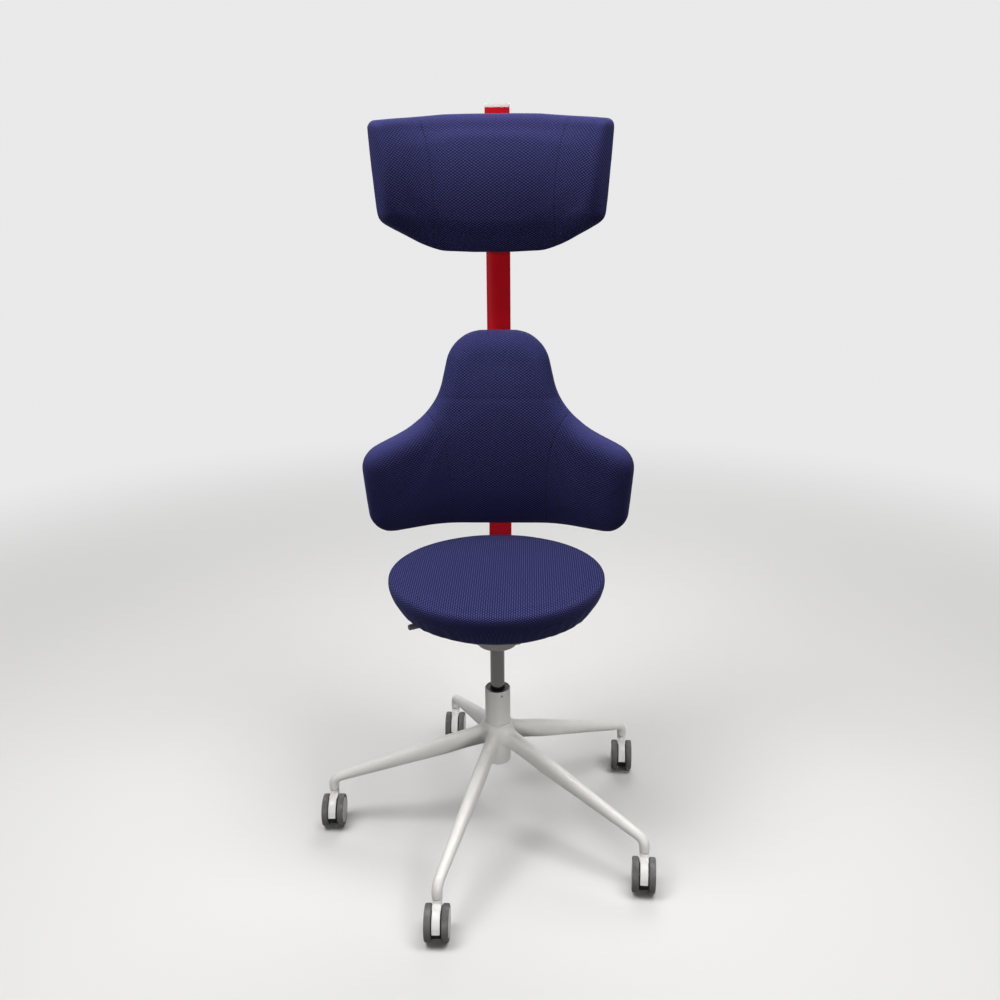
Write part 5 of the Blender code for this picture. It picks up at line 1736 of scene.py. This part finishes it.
@dataclass(frozen=True)
class Pad:
    """Winged pad: knit cushion sewn from a middle panel and two wings, on a moulded shell."""

    name: str
    form: PadForm
    corners: tuple[Corner, ...]
    pin_height: float
    seam: SeamLine
    knit: KnitFinish
    seam_low: float
    seam_high: float
    rim: float
    rim_power: float
    belly: float
    roll: float
    roll_wing: float
    hang: float
    thickness: float = 50 * MM
    crown: float = 4 * MM
    crease_height: float = 0.0
    crease_depth: float = 0.5 * MM
    crease_width: float = 6 * MM
    crease_fade: float = 10 * MM
    middle_back: float = 190.7 * MM
    edge: float = 21 * MM
    squareness: float = 0.62
    held_depth: float = 3 * MM
    low_band: Point2 = (0.1, 0.5)
    low_power: float = 2.0
    wing_blend: float = 1.5
    row_steps: int = 60
    least_row: float = 1.2 * MM
    corner_steps: int = 14
    shell_thickness: float = 4 * MM
    shell_round: float = 1.2 * MM
    full_swell: float = 0.9999
    screw_place: Point2 = (52 * MM, 34 * MM)
    pin_back: float = 239 * MM
    ear_radius: float = 9 * MM
    ear_near: float = 18.8 * MM
    ear_width: float = 8 * MM
    ear_root: float = 2.2
    ear_sink: float = 1 * MM
    stitch_points: int = 60
    stitch_lift: float = 0.05 * MM
    stuffing: Stuffing = Stuffing()

    @property
    def frame(self) -> Matrix:
        """Frame of the pad, at the foot of its middle surface."""
        return Matrix.Translation((0, self.middle_back, self.pin_height - self.form.drop))

    def outline(self) -> Array:
        """Outline of the pad's right half seen from the front, from foot to top."""
        return np.array(rounded(self.corners, steps=self.corner_steps))

    def rows(self, rim_steps: int) -> list[Point3]:
        """Rows of the pad from foot to top.

        Args:
            rim_steps: Rows through each rounded rim, besides the even ones.

        Returns:
            Height, half length along the section, and swell of each row.
        """
        outline, steps = self.outline(), self.row_steps
        top = outline[-1, 1]
        rims = [self.edge * (1 - math.cos(math.pi / 2 * k / rim_steps)) for k in range(rim_steps + 1)]
        heights = sorted({top * k / steps for k in range(1, steps)} | set(rims) | {top - rim for rim in rims})
        rows = []
        for height in heights:
            if rows and height - rows[-1][0] < self.least_row and height < top:
                continue
            rim = min(max(min(height, top - height, self.edge), self.edge / 100), self.edge)
            swell = (1 - (1 - rim / self.edge) ** (2 / self.squareness)) ** (self.squareness / 2)
            half = float(np.interp(height, outline[:, 1], outline[:, 0]))
            rows.append((height, max(self.form.along(half), 2 * self.edge), swell))
        return rows

    def cushion_shape(self, stations: int = 48, rim_steps: int = 16) -> Mesh:
        """Full shape of the cushion before it is filled, in the pad's frame.

        Args:
            stations: Steps along each face.
            rim_steps: Steps round each rim.

        Returns:
            The mesh.
        """
        rings = []
        for height, half, swell in self.rows(rim_steps=10):
            inner, depth = half - self.edge, self.thickness / 2 * swell
            ring = []
            for sign in (1, -1):
                for k in range(1, rim_steps):
                    turn = math.pi * (k / rim_steps - 0.5)
                    out = math.cos(turn) ** self.squareness
                    back = math.copysign(abs(math.sin(turn)) ** self.squareness, turn)
                    ring.append((sign * (inner + self.edge * out), sign * depth * back))
                for k in range(stations + 1):
                    run = sign * inner * (1 - 2 * k / stations)
                    bulge = 0 if sign > 0 else self.crown * swell * (1 - (run / inner) ** 2)
                    ring.append((run, sign * (depth + bulge)))
            rings.append([self.form.point(along, back, height) for along, back in ring])
        return lofted(rings)

    def rim_distance(self, along: Array, height: Array) -> Array:
        """Distance from the pad's outline, measured on the unrolled pad.

        Args:
            along: Distances along the section.
            height: Heights above the foot.

        Returns:
            The distances.
        """
        outline = self.outline()
        outline[:, 0] = [self.form.along(half) for half in outline[:, 0]]
        spots = np.stack([np.abs(along), height], axis=1)
        least = np.full(len(spots), np.inf)
        for start, end in zip(outline, outline[1:]):
            run = end - start
            length = max(float(run @ run), 1e-12)
            share = np.clip((spots - start) @ run / length, 0, 1)
            least = np.minimum(least, np.linalg.norm(spots - start - share[:, None] * run, axis=1))
        return least

    def dome(self, mesh: Mesh) -> None:
        """Round the front over: a plain rim above, a deep roll along the foot, which hangs down a little.

        Args:
            mesh: Full shape of the cushion, which is changed.
        """
        spots = places_of(mesh)
        along, depth, _ = self.form.unrolled(spots)
        height = spots[:, 2]
        top = self.corners[-1][1]
        low = 1 - eased(height / top, *self.low_band)
        bend_end = self.form.flat + self.wing_blend * self.form.bend
        wing = eased(np.abs(along), self.form.flat, bend_end)
        foot = self.roll + (self.roll_wing - self.roll) * wing
        reach = self.rim + (foot - self.rim) * low
        power = self.rim_power + (self.low_power - self.rim_power) * low
        inside = np.clip(self.rim_distance(along, height) / reach, 0, 1)
        swell = (1 - (1 - inside) ** power) ** (1 / power)
        half = self.form.along(max(corner[0] for corner in self.corners))
        front = -swell * (self.thickness / 2 + self.crown * (1 - (along / half) ** 2))
        front += self.belly * (2 * height / top - 1) ** 2 * swell
        deep = np.where(depth < 0, front, depth)
        sunk = height - self.hang * np.clip(1 - height / self.roll, 0, 1) ** 2
        made = np.array([self.form.point(*map(float, spot)) for spot in zip(along, deep, height)])
        made[:, 2] = sunk
        set_places(mesh, made)

    def shell_shape(self, stations: int = 48) -> Mesh:
        """Moulded sheet behind the cushion with a rounded border and its two hinge ears.

        Args:
            stations: Steps along it.

        Returns:
            The mesh, where it stands.
        """
        front = self.thickness / 2 + FIT
        rear = front + self.shell_thickness
        soft = self.shell_round
        rings = []
        rows = [row for row in self.rows(rim_steps=2) if row[2] > self.full_swell]
        for index, (height, half, _) in enumerate(rows):
            end = index in (0, len(rows) - 1)
            inner = half - self.edge
            places = [inner * (1 - 2 * k / stations) for k in range(stations + 1)]
            last = rear - (soft if end else 0)
            ring = [(run, front) for run in places] + [(-inner, last - soft)]
            ring += [(run * (1 - soft / inner), last) for run in reversed(places)] + [(inner, last - soft)]
            rings.append([self.form.point(along, back, height) for along, back in ring])
        sheet = moved(lofted(rings), self.frame)
        root, tall = self.middle_back + rear - self.pin_back - self.ear_sink, self.ear_root * self.ear_radius
        outline = arc((0, 0), self.ear_radius, -math.pi / 2, math.pi / 2, 20) + [(root, tall), (root, -tall)]
        ears = []
        for sign in (1, -1):
            low, high = sorted((sign * self.ear_near, sign * (self.ear_near + self.ear_width)))
            ears.append(moved(slab(outline, low, high, soft), STANDING))
        hinge = Matrix.Translation((0, self.pin_back, self.pin_height))
        return merged(sheet, *(moved(ear, hinge) for ear in ears))

    def shell_screws(self) -> Mesh:
        """Four screws at the back of the shell.

        Returns:
            The mesh.
        """
        rear = self.thickness / 2 + FIT + self.shell_thickness
        aside, above = self.screw_place
        places = [self.frame @ Vector(self.form.point(along, rear, self.form.drop + rise))
                  for along in (-aside, aside) for rise in (-above, above)]
        return screw_set(places, (0, 1, 0))

    def held(self, spots: Array) -> Array:
        """Which points of the cushion, in the pad's frame, its shell holds."""
        _, depth, _ = self.form.unrolled(spots)
        return depth > self.thickness / 2 - self.held_depth

    def sew(self, mesh: Mesh) -> None:
        """Draw the seams in and lay the knit over the cushion.

        Args:
            mesh: Filled cushion in the pad's frame, which is changed.
        """
        spots, normals = places_of(mesh), normals_of(mesh)
        along, depth, angle = self.form.unrolled(spots)
        height = spots[:, 2]
        in_front = eased(-depth, 0.0, self.thickness / 4)
        past = np.abs(along - self.seam.middle) - self.seam.half(height)
        groove = self.seam.groove * np.exp(-((past / self.seam.width) ** 2))
        if self.crease_height:
            level = np.exp(-(((height - self.crease_height) / self.crease_width) ** 2))
            middle = eased(-past, 0.0, self.crease_fade)
            groove = np.maximum(groove, self.crease_depth * level * middle)
        set_places(mesh, spots - normals * (groove * in_front)[:, None])
        tangent = np.stack([np.cos(angle), -np.sin(angle)], axis=1)
        sideways = (normals[:, :2] * tangent).sum(axis=1)
        wrap = depth + self.thickness / 2
        cloth = np.stack([along + sideways * wrap, height + normals[:, 2] * wrap], axis=1)
        set_cloth_map(mesh, cloth)

    def stitches(self, cushion: bpy.types.Object) -> Mesh:
        """Stitches down in both seams.

        Args:
            cushion: The finished cushion.

        Returns:
            The mesh.
        """
        seams = []
        heights = np.linspace(self.seam_low, self.seam_high, self.stitch_points)
        for sign in (-1, 1):
            line = []
            for height, half in zip(heights, self.seam.half(heights)):
                along = self.seam.middle + sign * float(half)
                spot = self.form.point(along, -self.thickness / 2, float(height))
                _, near, normal, _ = cushion.closest_point_on_mesh(self.frame @ Vector(spot))
                line.append(near + normal * self.stitch_lift)
            seams.append(line)
        return StitchRow().lay(seams, THREAD)

    def build(self) -> None:
        """Build cushion, stitches, shell and screws on the pad's body."""
        body = f"{self.name}_pad"
        shape = self.cushion_shape()
        self.dome(shape)
        mesh = self.stuffing.fill(shape, self.held)
        self.sew(mesh)
        cushion = place(f"{self.name}_knit", moved(mesh, self.frame), self.knit, body,
                        [f"{self.name}_cushion"], crease=180)
        place(f"{self.name}_stitches", self.stitches(cushion), THREAD, body)
        place(f"{self.name}_back_shell", self.shell_shape(), BLACK_PLASTIC, body, [f"{self.name}_shell"])
        place(f"{self.name}_shell_screws", self.shell_screws(), STEEL, body)


# Upright

@dataclass(frozen=True)
class Upright:
    """Flat painted bar that sweeps up behind the seat, with its end cap."""

    width: float = 48 * MM
    thickness: float = 8 * MM
    pin: Point2 = (98 * MM, 449.39 * MM)
    back: float = 191 * MM
    bend: float = 150 * MM
    height: float = 945 * MM
    eye_radius: float = 11 * MM
    bevel: float = 1.6 * MM
    cap_corner: float = 2 * MM

    def build(self) -> None:
        """Build bar and cap."""
        half = self.thickness / 2
        centre = (self.back - self.bend, self.bend)
        lip = math.asin(half / self.eye_radius)
        outline = [(self.back - half, self.height)]
        outline += arc(centre, self.bend - half, 0, -math.pi / 2, 40)
        outline += arc((0, 0), self.eye_radius, lip, math.tau - lip, 32)
        outline += arc(centre, self.bend + half, -math.pi / 2, 0, 40)
        outline += [(self.back + half, self.height)]
        frame = Matrix.Translation((0, *self.pin)) @ STANDING
        bar = moved(slab(outline, -self.width / 2, self.width / 2, self.bevel), frame)
        place("bar", bar, RED_PAINT, "upright", ["upright_bar"])
        low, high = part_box("bar_cap")
        sides = ((low.x, low.y), (high.x, low.y), (high.x, high.y), (low.x, high.y))
        rim = [(x, y, self.cap_corner) for x, y in sides]
        cap = slab(rounded(rim, closed=True), low.z, high.z, self.bevel)
        place("cap", cap, WHITE_PLASTIC, "upright", ["bar_cap"])


@dataclass(frozen=True)
class Carriage:
    """Sleeve that slides on the bar, with a hinge knuckle in front and a clamp knob behind."""

    name: str
    pin_height: float
    bar_back: float = 289 * MM
    bar_width: float = 48 * MM
    bar_thickness: float = 8 * MM
    width: float = 68 * MM
    wall: float = 9 * MM
    height: float = 80 * MM
    corner: float = 6 * MM
    bevel: float = 2 * MM
    slot_bevel: float = 0.1 * MM
    knuckle_width: float = 37 * MM
    knuckle_radius: float = 9 * MM
    knuckle_bevel: float = 1.4 * MM
    hinge_reach: float = 50 * MM
    knob_radius: float = 21 * MM
    knob_lobe: float = 1.8 * MM
    knob_lobes: int = 6
    knob_depth: float = 18 * MM
    knob_stand: float = 4 * MM
    knob_bevel: float = 2.4 * MM
    knob_cap: float = 0.55
    cap_rise: float = 0.8 * MM
    cap_depth: float = 3 * MM
    collar_radius: float = 10 * MM
    collar_lap: float = 2 * MM
    stud_radius: float = 4 * MM
    rib_radius: float = 0.9 * MM
    rib_half: float = 6 * MM
    rib_angles: Point3 = (-6, 0, 6)
    screw_radius: float = 3.0 * MM
    screw_inset: Point2 = (8 * MM, 9 * MM)

    @property
    def frame(self) -> Matrix:
        """Frame on the bar's middle at the height of the hinge pin."""
        return Matrix.Translation((0, self.bar_back, self.pin_height))

    @property
    def depth(self) -> float:
        """Depth of the sleeve."""
        return self.bar_thickness + 2 * FIT + 2 * self.wall

    def sleeve(self) -> Mesh:
        """Sleeve and knuckle.

        Returns:
            The mesh, in the carriage's frame.
        """
        half, deep, tall = self.width / 2, self.depth / 2, self.height / 2
        rim = [(x * half, y * deep, self.corner) for x, y in SQUARE]
        block = slab(rounded(rim, closed=True), -tall, tall, self.bevel)
        wide, thick = self.bar_width / 2 + FIT, self.bar_thickness / 2 + FIT
        opening = [(x * wide, y * thick) for x, y in SQUARE]
        slot = slab(opening, -self.height, self.height, self.slot_bevel)
        root = -deep + self.wall / 2
        knuckle = arc((-self.hinge_reach, 0), self.knuckle_radius, math.pi / 2, 3 * math.pi / 2, 20)
        knuckle += [(root, -2 * self.knuckle_radius), (root, 2 * self.knuckle_radius)]
        side = self.knuckle_width / 2
        arm = moved(slab(knuckle, -side, side, self.knuckle_bevel), STANDING)
        return merged(cut(block, slot), arm)

    def knob(self) -> Mesh:
        """Lobed knob with a cap, collar and stud, about Y.

        Returns:
            The mesh, in the carriage's frame.
        """
        inner = self.bar_thickness / 2 + FIT
        stand = inner + self.wall + FIT
        start = stand + self.knob_stand
        steps = self.knob_lobes * 16
        outline = []
        for k in range(steps):
            a = math.tau * k / steps
            radius = self.knob_radius - self.knob_lobe + self.knob_lobe * math.cos(self.knob_lobes * a)
            outline.append((radius * math.cos(a), radius * math.sin(a)))
        top = start + self.knob_depth
        grip = slab(outline, start, top - self.cap_rise, self.knob_bevel, steps=4)
        rim, foot = self.knob_cap * self.knob_radius, top - self.cap_depth
        cap = turned(rounded([(0, top, 0), (rim, top, 0.6 * MM), (rim, foot, 0), (0, foot, 0)]), sides=48)
        lap, low, rim = start + self.collar_lap, stand + FIT, self.collar_radius
        collar = turned(rounded([(0, lap, 0), (rim, lap, 0), (rim, low, 0.8 * MM), (0, low, 0)]), sides=40)
        rim = self.stud_radius
        stud = turned([(0, start), (rim, start), (rim, inner), (0, inner)], sides=24)
        return moved(merged(grip, cap, collar, stud), Matrix.Rotation(-math.pi / 2, 4, "X"))

    def knob_ribs(self) -> Mesh:
        """Grip ribs in the hollows between the knob's lobes.

        Returns:
            The mesh, in the carriage's frame.
        """
        half, radius = self.rib_half, self.rib_radius
        rib = turned(rounded([(0, half, 0), (radius, half, 0.7 * MM), (radius, -half, 0.7 * MM),
                              (0, -half, 0)], steps=2), sides=8)
        middle = self.bar_thickness / 2 + 2 * FIT + self.wall + self.knob_stand + self.knob_depth / 2
        reach = self.knob_radius - 2 * self.knob_lobe
        spots = []
        for lobe in range(self.knob_lobes):
            for turn in self.rib_angles:
                a = math.tau * (lobe + 0.5) / self.knob_lobes + math.radians(turn)
                spots.append((Vector((reach * math.cos(a), middle, reach * math.sin(a))), Vector((0, 1, 0)),
                              Vector((math.cos(a), 0, math.sin(a)))))
        return Copies(rib).lay(spots, BLACK_PLASTIC)

    def screws(self) -> Mesh:
        """Screws at the sleeve's rear corners.

        Returns:
            The mesh, in the carriage's frame.
        """
        across, rise = self.width / 2 - self.screw_inset[0], self.height / 2 - self.screw_inset[1]
        places = [(x, self.depth / 2, z) for x in (-across, across) for z in (-rise, rise)]
        return screw_set(places, (0, 1, 0), self.screw_radius)

    def build(self) -> None:
        """Build sleeve, screws and knob."""
        slider, clamp = f"{self.name}_slider", f"{self.name}_clamp"
        place(f"{self.name}_sleeve", moved(self.sleeve(), self.frame), BLACK_PLASTIC, slider,
              [f"{self.name}_carriage"])
        place(f"{self.name}_sleeve_screws", moved(self.screws(), self.frame), STEEL, slider)
        place(f"{self.name}_grip_knob", moved(self.knob(), self.frame), BLACK_PLASTIC, clamp,
              [f"{self.name}_knob"])
        place(f"{self.name}_knob_ribs", moved(self.knob_ribs(), self.frame), BLACK_PLASTIC, clamp)


# Stage

@dataclass(frozen=True)
class Lamp:
    """Soft lamp: its watts, its sides, where it hangs, what it faces and the angle of its beam."""

    name: str
    energy: float
    size: Point2
    spot: Point3
    target: Point3
    spread: float = math.pi

    def build(self) -> None:
        """Hang the lamp."""
        light = bpy.data.lights.new(self.name, "AREA")
        light.shape = "RECTANGLE"
        light.energy = self.energy
        light.size, light.size_y = self.size
        light.spread = self.spread
        lamp = linked(self.name, light)
        lamp.location = self.spot
        aim = Vector(self.target) - Vector(self.spot)
        lamp.rotation_euler = aim.to_track_quat("-Z", "Y").to_euler()


@dataclass(frozen=True)
class Stage:
    """Pale floor, soft light and the photograph's camera."""

    floor_colour: Colour = (0.80, 0.795, 0.785)
    bounce_colour: Colour = (0.06, 0.059, 0.057)
    sky_colour: Colour = (0.82, 0.82, 0.82)
    ambient: float = 0.10
    lamps: tuple[Lamp, ...] = (
        Lamp("key", 56.0, (1.2, 1.8), (-1.15, -0.45, 3.0), (0, 0, 0.6)),
        Lamp("far_key", 46.0, (1.2, 1.8), (1.15, -0.45, 3.0), (0, 0, 0.6)),
        Lamp("rear_key", 24.0, (1.6, 1.0), (0.3, 2.2, 2.3), (0, 0.2, 0.8)),
        Lamp("fill", 0.8, (0.6, 0.3), (-1.7, -2.3, 1.4), (0, 0.28, 1.05), math.radians(30)),
        Lamp("base_fill", 1.1, (1.8, 0.2), (0.7, -2.05, 0.35), (0, 0, 0.14), math.radians(28)),
    )
    fade_near: float = 1.1
    fade_far: float = 3.2
    floor_half: float = 9.0
    camera_place: Point3 = (0.061, -1.746, 1.290)
    pitch: float = math.radians(18.68)
    yaw: float = math.radians(-1.74)
    roll: float = math.radians(-0.5)
    focal_pixels: float = 991.0
    picture_pixels: float = 1000.0
    sensor: float = 36.0

    def seen(self, graph: Graph) -> Socket:
        """Whether the camera sees a point, also by reflection or through something.

        Args:
            graph: Graph of the material or world.

        Returns:
            1 where it is seen, else 0.
        """
        path = graph.add("ShaderNodeLightPath").outputs
        seen = graph.math("MAXIMUM", path["Is Camera Ray"], path["Is Glossy Ray"])
        return graph.math("MAXIMUM", seen, path["Is Transmission Ray"])

    def floor(self) -> None:
        """Pale floor that fades into the background."""
        mesh = bpy.data.meshes.new("floor")
        corners = [(x * self.floor_half, y * self.floor_half, 0) for x, y in SQUARE]
        mesh.from_pydata(corners, [], [range(len(corners))])
        material = bpy.data.materials.new("pale_floor")
        material.use_nodes = True
        graph = Graph(material.node_tree)
        graph.tree.nodes.clear()
        end = graph.add("ShaderNodeOutputMaterial")
        spot = graph.add("ShaderNodeTexCoord").outputs["Object"]
        distance = graph.add("ShaderNodeVectorMath", {0: spot}, operation="LENGTH").outputs["Value"]
        seen = self.seen(graph)
        colour = graph.mix(seen, (*self.bounce_colour, 1.0), (*self.floor_colour, 1.0))
        lit = graph.add("ShaderNodeBsdfDiffuse", {"Color": colour})
        far = graph.add("ShaderNodeEmission", {"Color": (*self.sky_colour, 1.0), "Strength": seen})
        share = graph.ease(distance, self.fade_near, self.fade_far)
        fade = graph.add("ShaderNodeMixShader", {0: share, 1: lit.outputs[0], 2: far.outputs[0]})
        graph.feed(end.inputs["Surface"], fade.outputs[0])
        mesh.materials.append(material)
        linked("floor", mesh)

    def sky(self) -> None:
        """Even pale background with a softer light for the shade."""
        world = bpy.data.worlds.new("studio")
        bpy.context.scene.world = world
        world.use_nodes = True
        graph = Graph(world.node_tree)
        strength = graph.choose(self.seen(graph), self.ambient, 1.0)
        graph.wire(graph.tree.nodes["Background"],
                   {"Color": (*self.sky_colour, 1.0), "Strength": strength})

    def camera(self) -> None:
        """Camera as the photograph was taken."""
        lens = bpy.data.cameras.new("camera")
        lens.sensor_width = self.sensor
        lens.lens = self.sensor * self.focal_pixels / self.picture_pixels
        level = math.cos(self.pitch)
        ahead = Vector((math.sin(self.yaw) * level, math.cos(self.yaw) * level, -math.sin(self.pitch)))
        right = Vector((math.cos(self.yaw), -math.sin(self.yaw), 0))
        above = right.cross(ahead)
        turned_right = math.cos(self.roll) * right + math.sin(self.roll) * above
        turned_up = -math.sin(self.roll) * right + math.cos(self.roll) * above
        camera = linked("camera", lens)
        camera.matrix_world = (Matrix.Translation(self.camera_place)
                               @ Matrix((turned_right, turned_up, -ahead)).transposed().to_4x4())
        bpy.context.scene.camera = camera

    def build(self) -> None:
        """Build floor, background, lamps and camera."""
        bpy.context.scene.view_settings.view_transform = "Standard"
        self.floor()
        self.sky()
        for lamp in self.lamps:
            lamp.build()
        self.camera()


# Chair

CASTER_HEADINGS = tuple(math.radians(angle) for angle in (1.0, 0.0, -5.0, -3.0, -1.0))
BACK_PIN = 791.39 * MM
HEAD_PIN = 1261.39 * MM
BACK = Pad(
    name="back",
    form=PadForm(flat=80 * MM, bend=80 * MM, wing_angle=math.radians(28), bow_radius=900 * MM, drop=210 * MM,
                 shift=0.0),
    corners=((0, 0, 0), (255 * MM, 0, 44 * MM), (266 * MM, 171 * MM, 48 * MM), (126 * MM, 229 * MM, 140 * MM),
             (89.5 * MM, 400 * MM, 74 * MM), (0, 400 * MM, 0)),
    pin_height=BACK_PIN,
    seam=BACK_SEAM,
    knit=BACK_KNIT,
    seam_low=8 * MM,
    seam_high=240 * MM,
    rim=42 * MM,
    rim_power=2.2,
    belly=9 * MM,
    roll=85 * MM,
    roll_wing=48 * MM,
    hang=6 * MM,
    crease_height=272 * MM,
)
HEAD = Pad(
    name="head",
    form=PadForm(flat=80 * MM, bend=100 * MM, wing_angle=math.radians(40), bow_radius=500 * MM, drop=125 * MM,
                 shift=-8 * MM),
    corners=((0, 0, 0), (111 * MM, 0, 150 * MM), (201 * MM, 57 * MM, 28 * MM),
             (213.5 * MM, 232 * MM, 15 * MM), (80 * MM, 244 * MM, 250 * MM), (0, 244 * MM, 0)),
    pin_height=HEAD_PIN,
    seam=HEAD_SEAM,
    knit=HEAD_KNIT,
    seam_low=30 * MM,
    seam_high=236 * MM,
    rim=16 * MM,
    rim_power=2.6,
    belly=13 * MM,
    roll=70 * MM,
    roll_wing=45 * MM,
    hang=5 * MM,
)
CAD_FINISHES = {finish.slot: finish for finish in (STEEL, BLACK_PLASTIC)}


def dress_frame(frame: dict) -> None:
    """Give the CAD nodes that still show their finishes.

    Args:
        frame: The loaded frame.
    """
    slots = {part["node"]: Slot(part["material_slot"]) for part in frame["record"]["subparts"]}
    for name, node in frame["nodes"].items():
        if node.hide_render:
            continue
        material = CAD_FINISHES[slots[name]].material()
        for entry in node.material_slots:
            entry.material = material
        LOG.info("%s keeps its CAD shape", name)


def main() -> None:
    """Build the whole chair on its frame and set the stage."""
    logging.basicConfig(level=logging.INFO, format="%(name)s: %(message)s")
    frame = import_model()
    star = StarBase()
    star.build()
    for number, (angle, heading) in enumerate(zip(star.angles(), CASTER_HEADINGS), start=1):
        Caster(number, angle, heading, star.tip_circle).build()
    GasLift().build()
    Mechanism().build()
    SeatCushion().build()
    Upright().build()
    for name, pin_height in (("back", BACK_PIN), ("head", HEAD_PIN)):
        Carriage(name, pin_height).build()
    BACK.build()
    HEAD.build()
    dress_frame(frame)
    Stage().build()


if __name__ == "__main__":
    main()
